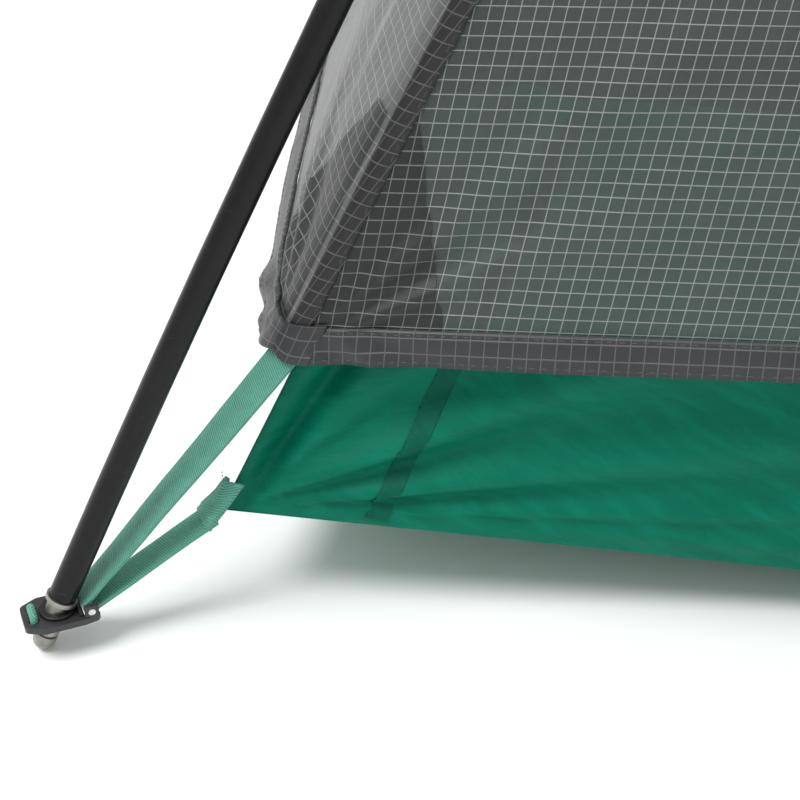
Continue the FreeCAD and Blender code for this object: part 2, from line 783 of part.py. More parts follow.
def end_wall_point(distance, up):
    spread = 1 - fade(distance)
    lower = Vector(-low_half_x + base_bow * spread, -low_half_y + distance, corner_lift * fade(distance))
    share = distance / low_half_y
    upper = Vector(-top_half_x + wall_bow * spread, -top_half_y + share * top_half_y, wall_top)
    return lower + (upper - lower) * up


def wall(point, half_length, inward, mirror_axis):
    """A wall between its two corner pieces."""
    near = stations(half_length, corner_seam + seam_gap)
    outer, inner = [], []
    for up in wall_rows:
        row = [point(distance, up) for distance in near]
        flip = Vector(1 - 2 * mirror_axis.x, 1 - 2 * mirror_axis.y, 1)
        row += [Vector(p.x * flip.x, p.y * flip.y, p.z) for p in reversed(row[:-1])]
        outer.append(row)
        inner.append([p + inward * floor_thickness for p in row])
    return sheet(outer, inner)


def floor_corner():
    """Corner piece, from seam to seam round the corner edge."""
    outer, inner = [], []
    for up in wall_rows:
        corner = long_wall_point(0, up)
        front = long_wall_point(corner_seam, up)
        side = end_wall_point(corner_seam, up)
        outer.append([front, corner, side])
        t = floor_thickness
        inner.append([front + Vector(0, t, 0), corner + Vector(t, t, 0), side + Vector(t, 0, 0)])
    return sheet(outer, inner)


def floor_base():
    """Groundsheet: flat on the ground, lifted at its corners."""
    near_x = stations(low_half_x)
    near_y = stations(low_half_y)
    columns = [(d, -1) for d in near_x] + [(d, 1) for d in reversed(near_x[:-1])]
    rows = [(d, -1) for d in near_y] + [(d, 1) for d in reversed(near_y[:-1])]
    low, high = [], []
    for ty, sy in rows:
        line = []
        for tx, sx in columns:
            half_length = low_half_x - base_inset - base_bow * (1 - fade(ty))
            half_width = low_half_y - base_inset - base_bow * (1 - fade(tx))
            x = sx * half_length * (1 - tx / low_half_x)
            y = sy * half_width * (1 - ty / low_half_y)
            line.append(Vector(x, y, corner_lift * fade(tx) * fade(ty)))
        low.append(line)
        high.append([p + Vector(0, 0, floor_thickness) for p in line])
    return sheet(low, high)


# ---- write every sub-part
def export(name, solids):
    """One STEP file per node; a group of identical pieces shares one."""
    shape = solids[0] if len(solids) == 1 else Part.makeCompound(solids)
    shape.exportStep(f"parts/{name}.step")
    box = shape.BoundBox
    print(f"{name}: {len(shape.Solids)} solids, volume {shape.Volume:.0f}, valid {shape.isValid()}, "
          f"z {box.ZMin:.1f} to {box.ZMax:.1f}")


os.makedirs("parts", exist_ok=True)

pole_sections(lower_arch, 0, "lower_pole")
pole_sections(upper_arch, 1, "upper_pole")
export("pole_ferrules", ferrules(lower_arch, 0) + ferrules(upper_arch, 1))
export("lower_pole_shock_cord", shock_cord(lower_arch, 0))
export("upper_pole_shock_cord", shock_cord(upper_arch, 1))
export("crossing_hub", crossing_hub())
export("pole_clips", clip_sets(pole_clip))
export("clip_tapes", clip_sets(clip_tape))

export("pole_tips", [stood(foot.pole_tip(), corner) for corner, foot in enumerate(feet)])
for corner, foot in enumerate(feet):
    place = corner_names[corner]
    export(f"foot_plate_{place}", [stood(foot.foot_plate(), corner)])
    export(f"plate_grommet_{place}", [stood(foot.grommet(), corner)])
    export(f"webbing_bar_{place}", [stood(foot.webbing_bar(), corner)])
    export(f"stake_loop_{place}", [stood(foot.stake_loop(), corner)])
    export(f"corner_strap_{place}", [stood(foot.corner_strap(), corner)])
export("strap_tabs", [stood(foot.strap_tab(), corner) for corner, foot in enumerate(feet)])

front = long_panel(canopy_rows, canopy_thickness)
end = end_panel(canopy_rows, canopy_thickness)
export("canopy_front", [front.cut(door_slot())])
export("canopy_back", [half_turn(front)])
export("canopy_left", [end])
export("canopy_right", [half_turn(end)])
hem_rows = (length_to_height(hem_height, canopy_drop), hem_along - section_gap)
front_hem = long_panel(hem_rows, hem_thickness)
end_hem = end_panel(hem_rows, hem_thickness)
split_hem = front_hem.cut(door_slot())
export("canopy_hem", split_hem.Solids + [half_turn(front_hem), end_hem, half_turn(end_hem)])
export("crown_patch", crown_patch())
export("corner_patches", four_corners(corner_patch()))

export("zip_tapes", [zip_tape(-1), zip_tape(1)])
export("zip_slider", [zip_slider()])
export("zip_puller", [zip_puller()])

export("floor_base", [floor_base()])
long_wall = wall(long_wall_point, low_half_x, Vector(0, 1, 0), Vector(1, 0, 0))
end_wall = wall(end_wall_point, low_half_y, Vector(1, 0, 0), Vector(0, 1, 0))
export("floor_wall_front", [long_wall])
export("floor_wall_back", [half_turn(long_wall)])
export("floor_wall_left", [end_wall])
export("floor_wall_right", [half_turn(end_wall)])
export("floor_corner_pieces", four_corners(floor_corner()))

print(f"pole length {2 * 4 * lower_arch[0].length:.0f}, crown {crown_height(lower_arch):.1f}, "
      f"section {lower_arch[0].length:.1f}, radii {[round(b.radius) for b in lower_arch]}")
for corner, foot in enumerate(feet):
    ends = [stood(Part.Vertex(point), corner).Point for point in (Vector(0, 0, 0), foot.axis)]
    print(f"{corner_names[corner]}: tip axis {ends[1] - ends[0]}")
print(f"door: base {door_place.Base}, length {door_length:.1f}, "
      f"up {door_place.Rotation.multVec(Vector(0, 0, 1))}")
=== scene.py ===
# %% [markdown]
# A free-standing shelter for two, seen at one of its feet. The CAD model fixes where everything
# is. Here each hard piece keeps its CAD shape and gets a finish, and each soft piece is made
# again as cloth or webbing: canopy, hems, groundsheet, straps and tapes.

# %% Load the frame
import math

import bmesh
import bpy
from mathutils import Matrix, Vector, noise


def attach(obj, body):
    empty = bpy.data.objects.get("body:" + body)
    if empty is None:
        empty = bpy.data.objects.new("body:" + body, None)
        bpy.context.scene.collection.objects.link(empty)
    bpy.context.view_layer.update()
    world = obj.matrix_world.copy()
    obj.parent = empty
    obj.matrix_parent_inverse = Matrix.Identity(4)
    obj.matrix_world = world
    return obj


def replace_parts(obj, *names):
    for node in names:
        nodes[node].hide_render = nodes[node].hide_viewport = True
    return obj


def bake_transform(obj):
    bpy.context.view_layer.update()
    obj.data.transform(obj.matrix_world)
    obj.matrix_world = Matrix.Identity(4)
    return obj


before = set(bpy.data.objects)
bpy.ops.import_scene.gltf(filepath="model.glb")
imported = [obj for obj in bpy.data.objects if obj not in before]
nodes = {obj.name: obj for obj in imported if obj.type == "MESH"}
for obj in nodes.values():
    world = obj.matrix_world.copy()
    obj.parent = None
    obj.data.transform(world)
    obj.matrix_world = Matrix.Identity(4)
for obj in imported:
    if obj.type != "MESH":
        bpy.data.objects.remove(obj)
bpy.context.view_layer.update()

# %% [markdown]
# The camera stands low beside the front left foot and looks down at it from a little to the
# right, close enough that one foot, one canopy corner and one floor corner fill the view. It
# comes first, because it decides how fine each piece has to be.

# %% Camera
view_azimuth = math.radians(11)
view_elevation = math.radians(36)
back = Vector((math.sin(view_azimuth) * math.cos(view_elevation),
               -math.cos(view_azimuth) * math.cos(view_elevation),
               math.sin(view_elevation)))
lens = bpy.data.cameras.new("view")
lens.lens, lens.sensor_width = 78.75, 36
lens.clip_start = 0.02
camera = bpy.data.objects.new("view", lens)
camera.location = (-0.8965, -1.0220, 0.3713)
camera.rotation_mode = "QUATERNION"
camera.rotation_quaternion = (-back).to_track_quat("-Z", "Y")
bpy.context.scene.collection.objects.link(camera)
bpy.context.scene.camera = camera
print("camera at", camera.location[:])

# %% [markdown]
# A finish is a tree of shader nodes. Written node by node it is hard to read, so one class wraps
# a socket and lets it be added and multiplied like a number, and one class builds the tree.


# %% Shader arithmetic
class Channel:
    """A socket that can be used in sums."""

    def __init__(self, finish, socket):
        self.finish, self.socket = finish, socket

    def math(self, operation, *others, clamp=False):
        settings = {"operation": operation, "use_clamp": clamp}
        return self.finish.node("ShaderNodeMath", settings, self, *others)

    def __add__(self, other):
        return self.math("ADD", other)

    def __sub__(self, other):
        return self.math("SUBTRACT", other)

    def __rsub__(self, other):
        return self.finish.node("ShaderNodeMath", {"operation": "SUBTRACT"}, other, self)

    def __mul__(self, other):
        return self.math("MULTIPLY", other)

    __radd__ = __add__
    __rmul__ = __mul__

    def clamped(self):
        return self.math("MULTIPLY", 1.0, clamp=True)

    def top(self, other):
        return self.math("MAXIMUM", other)


class Finish:
    """A material's tree round one Principled shader."""

    def __init__(self, name):
        self.material = bpy.data.materials.new(name)
        self.material.use_nodes = True
        self.tree = self.material.node_tree
        self.surface = self.tree.nodes["Principled BSDF"]

    def put(self, socket, value):
        if isinstance(value, Channel):
            self.tree.links.new(value.socket, socket)
        else:
            socket.default_value = value

    def node(self, kind, settings, *inputs, output=0, **named):
        made = self.tree.nodes.new(kind)
        for key, value in settings.items():
            setattr(made, key, value)
        for socket, value in zip(made.inputs, inputs):
            self.put(socket, value)
        for key, value in named.items():
            self.put(made.inputs[key.replace("_", " ")], value)
        return Channel(self, made.outputs[output])

    def place(self):
        return self.node("ShaderNodeTexCoord", {}, output="Object")

    def cloth(self):
        return self.node("ShaderNodeUVMap", {"uv_map": "cloth"})

    def axes(self, vector):
        split = self.tree.nodes.new("ShaderNodeSeparateXYZ")
        self.put(split.inputs[0], vector)
        return [Channel(self, socket) for socket in split.outputs]

    def stretched(self, vector, x, y, z):
        return self.node("ShaderNodeMapping", {}, vector, Scale=(x, y, z))

    def cloud(self, vector, scale, detail=3.0, roughness=0.5):
        return self.node("ShaderNodeTexNoise", {}, Vector=vector, Scale=scale, Detail=detail,
                         Roughness=roughness)

    def cells(self, vector, scale):
        return self.node("ShaderNodeTexVoronoi", {}, Vector=vector, Scale=scale)

    def mixed(self, factor, first, second):
        made = self.tree.nodes.new("ShaderNodeMix")
        made.data_type = "RGBA"
        for index, value in ((0, factor), (6, first), (7, second)):
            self.put(made.inputs[index], value)
        return Channel(self, made.outputs[2])

    def line(self, along, pitch, width):
        """1 on a thread of some width, once in each pitch, and 0 between the threads."""
        phase = (along * (1 / pitch)).math("FRACT")
        away = (phase - 0.5).math("ABSOLUTE") * (2 * pitch / width)
        return (1.5 - away).clamped()

    def raised(self, height, distance, strength=1.0):
        bump = self.node("ShaderNodeBump", {}, Strength=strength, Distance=distance, Height=height)
        self.tree.links.new(bump.socket, self.surface.inputs["Normal"])

    def set(self, **values):
        for key, value in values.items():
            self.put(self.surface.inputs[key.replace("_", " ")], value)
        return self


def tone(red, green, blue):
    """A colour as a paint chart gives it, 0 to 255, as the shader wants it."""
    values = [v / 255 for v in (red, green, blue)]
    return tuple(v / 12.92 if v < 0.04 else ((v + 0.055) / 1.055) ** 2.4 for v in values) + (1.0,)


# %% [markdown]
# The room is a plain pale floor under an even white sky, with one broad soft light from the
# upper left, so that folds show without hard shadows.

# %% Floor and light
def add_stage():
    mesh = bpy.data.meshes.new("studio_floor")
    shape = bmesh.new()
    bmesh.ops.create_grid(shape, x_segments=2, y_segments=2, size=6)
    bmesh.ops.translate(shape, verts=shape.verts, vec=(0, 0, -0.0004))
    shape.to_mesh(mesh)
    floor = bpy.data.objects.new("studio_floor", mesh)
    bpy.context.scene.collection.objects.link(floor)
    pale = Finish("studio_floor")
    pale.set(Base_Color=pale.mixed(pale.cloud(pale.place(), 0.6), tone(250, 250, 249), tone(246, 247, 247)),
             Roughness=0.85)
    mesh.materials.append(pale.material)


def add_light(name, place, aim, size, power):
    data = bpy.data.lights.new(name, "AREA")
    data.shape, data.size, data.energy = "DISK", size, power
    light = bpy.data.objects.new(name, data)
    light.location = place
    light.rotation_mode = "QUATERNION"
    light.rotation_quaternion = (Vector(aim) - Vector(place)).to_track_quat("-Z", "Y")
    bpy.context.scene.collection.objects.link(light)


add_stage()
add_light("key", (-2.2, -1.5, 3.2), (-0.6, -0.3, 0.2), 1.8, 105)
add_light("rim", (1.8, 2.6, 2.6), (0, 0, 0.4), 2.0, 30)
sky = bpy.data.worlds.new("sky")
sky.use_nodes = True
sky.node_tree.nodes["Background"].inputs["Color"].default_value = (1, 1, 1, 1)
sky.node_tree.nodes["Background"].inputs["Strength"].default_value = 0.66
bpy.context.scene.world = sky
bpy.context.scene.view_settings.view_transform = "Standard"

# %% [markdown]
# Every soft piece hangs from the poles, so it needs the poles' line. A pole is a strut sprung
# between its two feet: its slope falls off as a cosine of the length. The CAD model makes it as
# a chain of arcs, one to a pole section, and the same chain is worked out here in metres.

# %% The pole's line and the ridges under it
half_x, half_y = 1.075, 0.665
half_diagonal = math.hypot(half_x, half_y)
diagonal = Vector((half_x, half_y, 0)) / half_diagonal
tip_radius = 0.0035
foot_slope = math.radians(64.0)
half_sections = 4
canopy_drop, floor_drop = 0.0283, 0.0363
slopes = [foot_slope * math.cos(math.pi * i / 8) for i in range(half_sections + 1)]
arc_run = sum((math.sin(a) - math.sin(b)) / (a - b) for a, b in zip(slopes, slopes[1:]))
section = half_diagonal / arc_run


def ridge(along, drop):
    """Distance from the foot, height and slope of a ridge below the pole."""
    reach, height = 0.0, tip_radius
    for a, b in zip(slopes, slopes[1:]):
        radius = section / (a - b)
        part = min(along, section)
        turned = a - part / radius
        reach += radius * (math.sin(a) - math.sin(turned))
        height += radius * (math.cos(turned) - math.cos(a))
        along -= section
        if along <= 0:
            break
    return reach + drop * math.sin(turned), height - drop * math.cos(turned), turned


def length_to_height(height, drop):
    low, high = 0.0, 2 * section
    for _ in range(40):
        middle = (low + high) / 2
        if ridge(middle, drop)[1] < height:
            low = middle
        else:
            high = middle
    return low


def corner_at(along, drop=canopy_drop):
    reach, height, slope = ridge(along, drop)
    return half_x - reach * diagonal.x, half_y - reach * diagonal.y, height, slope


edge_run = 0.5


def fade(distance):
    """1 at a corner, 0 from where the edge has left it."""
    return max(0.0, 1 - distance / edge_run) ** 1.5


print("pole", round(8 * section, 4), "m, crown at", round(ridge(4 * section, 0)[1], 4), "m")

# %% [markdown]
# The canopy has four panels between its ridges. A long panel bows inwards, because it hangs slack
# between two tight ridges; an end panel's hem stands out. Both hems climb from the corners, where
# the straps hold them down. One function for each kind of panel gives the place of any point.

# %% The canopy's surfaces
hem_height, hem_depth, hem_rise = 0.0866, 0.0095, 0.025
long_bow, end_belly = 0.016, 0.050
zip_run = 0.560
crown_along = 4 * section - 0.070
hem_edge = length_to_height(hem_height, canopy_drop)
hem_top = length_to_height(hem_height + hem_depth, canopy_drop)
zip_top = hem_top + zip_run
hem_half_y = corner_at(hem_top)[1]
zip_half_y, zip_top_height = corner_at(zip_top)[1:3]
zip_foot_height = hem_height + hem_depth + hem_rise
door_slope = (zip_half_y - hem_half_y) / (zip_top_height - zip_foot_height)


def up_share(along):
    return min(1.0, max(0.0, (along - hem_top) / zip_run))


def rise_at(distance, along):
    return hem_rise * (1 - fade(distance)) * (1 - up_share(along)) ** 2


def bow_at(along, half_length, half_width, height):
    if along > zip_top:
        return long_bow * half_width / zip_half_y
    middle = height + rise_at(half_length, along)
    return long_bow + half_width - (hem_half_y + door_slope * (middle - zip_foot_height))


def front_point(share, along):
    """Front panel: share runs from -1 at the left ridge to 1 at the right one."""
    hx, hy, height, _ = corner_at(along)
    bow = bow_at(along, hx, hy, height)
    return Vector((share * hx, -hy + bow * (1 - share * share),
                   height + rise_at((1 - abs(share)) * hx, along)))


def left_point(share, along):
    """Left end panel: share runs from -1 at the front ridge to 1 at the back one."""
    hx, hy, height, _ = corner_at(along)
    out = end_belly * math.cos(math.pi / 2 * share) * (1 - up_share(along)) ** 2
    return Vector((-hx - out, share * hy, height + rise_at((1 - abs(share)) * hy, along)))


def turned_half(point):
    return Vector((-point.x, -point.y, point.z))


print("canopy from", round(hem_height, 3), "to", round(corner_at(crown_along)[2], 3), "m")

# %% [markdown]
# Cloth is a fine grid, pushed into place point by point. The grid is closer near the corners,
# where the folds are small. A map named cloth keeps each point's place on the flat cut piece, in
# metres, so that threads and stitches keep their size and bend with the folds.


# %% Cloth grids
def crowded(t, share=0.72):
    """Spreads 0 to 1 so that both ends are closer together."""
    return t - share / (2 * math.pi) * math.sin(2 * math.pi * t)


def piece_from(shape, name, body="shelter", smooth=True):
    """Makes an object of a bmesh; body None leaves it unattached."""
    mesh = bpy.data.meshes.new(name)
    shape.to_mesh(mesh)
    shape.free()
    mesh.polygons.foreach_set("use_smooth", [smooth] * len(mesh.polygons))
    piece = bpy.data.objects.new(name, mesh)
    bpy.context.scene.collection.objects.link(piece)
    if body:
        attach(piece, body)
    return piece


def cloth_shape(columns, rows, place, flat):
    """A grid whose point (u, v), each 0 to 1, lies at place(u, v) and on the cut at flat(u, v)."""
    shape = bmesh.new()
    bmesh.ops.create_grid(shape, x_segments=columns, y_segments=rows, size=0.5)
    layer = shape.loops.layers.uv.new("cloth")
    for face in shape.faces:
        for loop in face.loops:
            u, v = loop.vert.co.x + 0.5, loop.vert.co.y + 0.5
            loop[layer].uv = flat(u, v)
    for vert in shape.verts:
        vert.co = place(vert.co.x + 0.5, vert.co.y + 0.5)
    return shape


def paint(piece, finish, slot):
    piece.data.materials.clear()
    piece.data.materials.append(finish.material)
    return piece


def thickened(piece, thickness, offset=0.0):
    solid = piece.modifiers.new("thickness", "SOLIDIFY")
    solid.thickness, solid.offset, solid.use_even_offset = thickness, offset, False
    return piece


# %% [markdown]
# Folds. Thin coated cloth under tension makes straight creases that fan out from wherever it is
# held, and small soft dents between them. The fans are listed: each crease has its
# direction, how far it reaches and how deep it is.


# %% Folds
def crease(angle, wanted, width):
    return math.exp(-((angle - wanted) / width) ** 2)


def fan(away, up, creases, size):
    """Height of a fan of creases, from the point of a panel where it is held."""
    reach = math.hypot(away, up)
    angle = math.degrees(math.atan2(up, away))
    total = 0.0
    for wanted, width, depth, length in creases:
        along = math.exp(-(reach / length) ** 2) * min(1.0, reach / size)
        total += depth * along * crease(angle, wanted, width)
    return total


def dents(point, size, depth, seed=0.0):
    """Soft uneven dents; the seed moves to another part of the same noise."""
    moved = Vector((point.x / size + seed, point.y / size - seed, point.z / size))
    return depth * (noise.noise(moved) + 0.5 * noise.noise(moved * 2.1))


canopy_creases = ((21, 4, -0.0034, 0.06), (30, 4, 0.0022, 0.07), (40, 6, -0.0020, 0.14),
                  (52, 6, 0.0016, 0.20), (8, 4, 0.0012, 0.12), (62, 5, -0.0010, 0.25))
print("creases round a canopy corner:", len(canopy_creases))

# %% [markdown]
# The canopy's cloth is a thin silicone-coated ripstop. Every 4 mm a bundle of thicker pale
# threads crosses a fine grey weave that lets some light through. The squares come from the
# piece's own map, so they follow the cloth. Where layers lie on each other, as in hems and seams,
# the cloth is no longer see-through, and it is given a darker grey: painted shade for the light
# that the extra layers stop.


# %% Ripstop
ripstop_pitch, ripstop_thread = 0.004, 0.00030


def ripstop(name, ground, thread, cover, lines=1.0, roughness=0.42):
    """Grey ripstop; cover is the share of light that the ground weave stops."""
    f = Finish(name)
    uv, place = f.cloth(), f.place()
    u, v, _ = f.axes(uv)
    threads = f.line(u, ripstop_pitch, ripstop_thread).top(f.line(v, ripstop_pitch, ripstop_thread))
    warp, weft = (f.line(way, 0.0005, 0.0003) for way in (u, v))
    crumple = f.cloud(place, 60, 4.0, 0.6)
    uneven = f.cloud(uv, 900, 2.0)
    base = f.mixed(crumple, tone(*[g * 0.90 for g in ground]), tone(*[min(255, g * 1.10) for g in ground]))
    base = f.mixed((uneven - 0.35) * 0.6, base, tone(*[g * 0.8 for g in ground]))
    shown = threads * lines * (0.72 + uneven * 0.5)
    f.set(Base_Color=f.mixed(shown.clamped(), base, tone(*thread)),
          Alpha=(threads * (1 - cover) * 0.9 + cover + (crumple - 0.5) * 0.10).clamped(),
          Roughness=(crumple * 0.2 + roughness - 0.1).clamped(), Sheen_Weight=0.12, Sheen_Roughness=0.4)
    f.raised(threads * 0.6 + (warp + weft) * 0.10 + crumple * 1.2 + uneven * 0.2, 0.0004, 0.55)
    return f


long_cloth = ripstop("ripstop_long", (76, 81, 80), (146, 152, 149), 0.66, 0.85)
end_cloth = ripstop("ripstop_end", (72, 74, 73), (150, 153, 151), 0.94, 0.75)
# Painted shade: the felled seam, hem and corner patches are the same ripstop in a darker grey, standing in
# for the light that their doubled layers stop.
seam_cloth = ripstop("ripstop_felled", (29, 29, 30), (106, 108, 107), 0.97, 0.6)
hem_cloth = ripstop("ripstop_hem", (44, 45, 48), (116, 118, 120), 0.98, 0.5)
patch_cloth = ripstop("ripstop_patch", (28, 30, 30), (122, 125, 124), 0.93, 0.75)
print("ripstop squares of", ripstop_pitch * 1000, "mm")

# %% [markdown]
# The four panels. The front one is cut away behind the zip with two bisecting
# planes. The size that each was cut to, measured up its middle, is worked out and its width and length
# printed.


# %% Canopy panels
def along_at(v):
    return hem_top + (crown_along - hem_top) * (0.22 * v + 0.78 * v * v)


def climb_to(along, side):
    """Distance up a panel from its hem; side is 0 for an end panel and 1 for a long one."""
    here, start = corner_at(along), corner_at(hem_top)
    return math.hypot(start[side] - here[side], here[2] - start[2])


thread_lean = 0.16
canopy_seeds = (0.0, 5.0)


def on_cut(share, along, side):
    """A panel point's place on its cut piece; the threads lean a little off the hem's square."""
    climb = climb_to(along, 1 - side)
    return share * corner_at(along)[side] - thread_lean * climb, climb


def rounded(point, distance, inwards):
    """The ridge is a soft fold over several layers, not a sharp edge."""
    soft = 0.009
    if distance < soft:
        point = point + inwards * 0.0022 * (1 - distance / soft) ** 2
    return point


def canopy_fold(distance, above, point, seed):
    """How far the cloth stands out; distance is from the nearer ridge, above from the hem."""
    calm = min(1.0, distance / 0.006) * min(1.0, max(0.10, (above - 0.004) / 0.025))
    fans = fan(distance, above, canopy_creases, 0.03)
    swell = dents(point, 0.10, 0.0022, seed) * min(1.0, distance / 0.08)
    small = dents(point, 0.022, 0.0004, seed + 3)
    return (fans + swell + small) * calm


def panel_out(side, slope):
    """Outwards from a panel; side is 0 for the front panel and 1 for the left end."""
    out = Vector((0, 0, math.cos(slope) * diagonal[1 - side]))
    out[1 - side] = -math.sin(slope)
    return out.normalized()


def panel_cloth(side, share, along, lift=0.0, seed=None):
    """A point of the front panel, side 0, or of the left end, side 1, with its folds."""
    distance = (1 - abs(share)) * corner_at(along)[side]
    above = climb_to(along, 1 - side) + hem_depth
    point = (front_point, left_point)[side](share, along)
    raised = canopy_fold(distance, above, point, canopy_seeds[side] if seed is None else seed) + lift
    if side == 1:
        billow = min(1.0, distance / 0.03) * math.exp(-(distance / 0.3) ** 2) * (1 - up_share(along))
        raised += billow * (0.0030 + 0.0060 * min(1.0, max(0.0, above - 0.004) / 0.05))
    point += panel_out(side, corner_at(along)[3]) * raised
    inwards = Vector((diagonal.x, diagonal.y, 0))
    inwards[side] = -math.copysign(inwards[side], share)
    return rounded(point, distance, inwards)


def share_at(u):
    return 2 * crowded(u) - 1


def panel_shape(side, columns, rows, seed):
    return cloth_shape(columns, rows, lambda u, v: panel_cloth(side, share_at(u), along_at(v), seed=seed),
                       lambda u, v: on_cut(share_at(u), along_at(v), side))


def in_place(shape, turned):
    """Turns a piece to the far side if it belongs there; its faces then point outwards."""
    if turned:
        bmesh.ops.rotate(shape, verts=shape.verts, cent=(0, 0, 0), matrix=Matrix.Rotation(math.pi, 3, "Z"))
    bmesh.ops.recalc_face_normals(shape, faces=shape.faces)
    return shape


zip_slot = 0.026
door_foot = Vector((0, -hem_half_y + long_bow, zip_foot_height))
door_rise = Vector((0, hem_half_y - zip_half_y, zip_top_height - zip_foot_height))
door_length, door_up = door_rise.length, door_rise.normalized()
door_out = Vector((0, -door_up.z, door_up.y))


def cut_door(shape):
    """Removes the strip behind the zip."""
    top = door_foot + door_up * door_length
    for place, normal in (((-zip_slot / 2, 0, 0), (1, 0, 0)), ((zip_slot / 2, 0, 0), (1, 0, 0)),
                          (top, door_up)):
        bmesh.ops.bisect_plane(shape, geom=shape.verts[:] + shape.edges[:] + shape.faces[:], dist=1e-6,
                               plane_co=place, plane_no=normal)

    def behind_zip(middle):
        return abs(middle.x) < zip_slot / 2 and (middle - top).dot(door_up) < 0 and middle.y < 0

    gone = [face for face in shape.faces if behind_zip(face.calc_center_median())]
    bmesh.ops.delete(shape, geom=gone, context="FACES")
    return shape


def cut_size(side):
    """Width, length and area of a panel's cut piece."""
    wide = 2 * corner_at(hem_top)[side]
    steps = 40
    area, length = 0.0, 0.0
    for step in range(steps):
        a = hem_top + (crown_along - hem_top) * step / steps
        b = hem_top + (crown_along - hem_top) * (step + 1) / steps
        first, second = corner_at(a), corner_at(b)
        rise = math.hypot(first[1 - side] - second[1 - side], second[2] - first[2])
        area += rise * (first[side] + second[side])
        length += rise
    return wide, length, area


for name, side, columns, turned, seed in (
        ("canopy_front", 0, 250, False, 0.0), ("canopy_back", 0, 200, True, 11.0),
        ("canopy_left", 1, 190, False, 5.0), ("canopy_right", 1, 160, True, 17.0)):
    shape = panel_shape(side, columns, 130, seed)
    if name == "canopy_front":
        cut_door(shape)
    panel = piece_from(in_place(shape, turned), name + "_cloth")
    paint(panel, (long_cloth, end_cloth)[side], "grey_cloth")
    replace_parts(panel, name)
    width, length, area = cut_size(side)
    print(panel.name, len(panel.data.polygons), "faces, cut", round(width, 3), "x", round(length, 3), "m")

# %% [markdown]
# At each ridge the end panel's cloth is folded over the long panel's edge and felled: a flat band
# 8 mm wide, several layers thick, whose threads still run the end panel's way.

# %% Felled ridge seams
seam_width, seam_start, seam_thickness = 0.0082, hem_edge + 0.006, 0.0004


def ridge_lean(along, side):
    """Parts of the ridge's direction across and up a panel."""
    slope = ridge(along, canopy_drop)[2]
    across = math.cos(slope) * (diagonal.x if side == 0 else diagonal.y)
    return across, math.sqrt(max(1e-9, 1 - across * across))


def seam_along(v):
    return seam_start + (crown_along - seam_start) * v


def seam_shape(seed):
    def place(u, v):
        along = seam_along(v)
        hx = corner_at(along)[0]
        across = u * seam_width / ridge_lean(along, 0)[1]
        swell = 0.0005 * math.sin(math.pi * u)
        pucker = 0.00018 * noise.noise(Vector((along * 260, u * 3, seed)))
        return panel_cloth(0, -1 + across / hx, along, 0.0005 + swell + pucker)

    def flat(u, v):
        along = seam_along(v)
        across, up = ridge_lean(along, 1)
        return (-corner_at(along)[1] - u * seam_width * up, climb_to(along, 0) + u * seam_width * across)

    return cloth_shape(8, 420, place, flat)


def flipped(shape, x, y):
    """Mirrors a piece of the front left corner to another corner."""
    bmesh.ops.scale(shape, verts=shape.verts, vec=(x, y, 1))
    bmesh.ops.recalc_face_normals(shape, faces=shape.faces)
    return shape


def at_corner(shape, name, corner, finish, slot="dark_cloth"):
    place_name, x, y = corner
    return paint(piece_from(flipped(shape, x, y), name + place_name), finish, slot)


corners = (("front_left", 1, 1), ("front_right", -1, 1), ("back_right", -1, -1), ("back_left", 1, -1))
for index, corner in enumerate(corners):
    thickened(at_corner(seam_shape(index), "ridge_seam_", corner, seam_cloth), seam_thickness)
print("ridge seams:", len(corners), "of", round(crown_along - hem_edge, 3), "m")

# %% [markdown]
# The hem is the cloth turned up twice. It is a closed strip that puffs between its two rows of
# stitches and puckers a little where the thread pulls. Its corner is turned over the ridge.

# %% Hems
hem_thickness, hem_fold = 0.0009, 0.0016
cap_half_width, cap_thickness, cap_lift = 0.013, 0.0008, 0.0016


def hem_shape(side, columns, start, end, seed):
    def along_of(v, distance):
        low = hem_edge + 0.0035 * max(0.0, 1 - distance / 0.010) ** 2
        return low + (hem_top + hem_fold - low) * v

    def place(u, v):
        share = start + (end - start) * u
        distance = (1 - abs(share)) * corner_at(hem_top)[side]
        puff = 0.0003 * math.sin(math.pi * v)
        pucker = 0.0002 * noise.noise(Vector((share * 260, v * 1.4, seed))) * math.sin(math.pi * v)
        tug = 0.0002 * noise.noise(Vector((share * 90, seed, 0.0))) * min(1.0, distance / 0.03)
        return panel_cloth(side, share, along_of(v, distance), 0.0007 + puff + pucker + tug, seed)

    def flat(u, v):
        share = start + (end - start) * u
        return share * corner_at(along_of(v, 1.0))[side], -hem_depth * (1 - v)

    return cloth_shape(columns, 7, place, flat)


half_slot = zip_slot / 2 / corner_at(hem_top)[0]
hems = []
for name, side, columns, turned, start, end, seed in (
        ("hem_front_left", 0, 700, False, -1, -half_slot, 0.0),
        ("hem_front_right", 0, 500, False, half_slot, 1, 0.0), ("hem_back", 0, 900, True, -1, 1, 11.0),
        ("hem_left", 1, 700, False, -1, 1, 5.0), ("hem_right", 1, 500, True, -1, 1, 17.0)):
    hem = piece_from(in_place(hem_shape(side, columns, start, end, seed), turned), name)
    hems.append(thickened(paint(hem, hem_cloth, "dark_cloth"), hem_thickness))
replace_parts(hems[0], "canopy_hem")


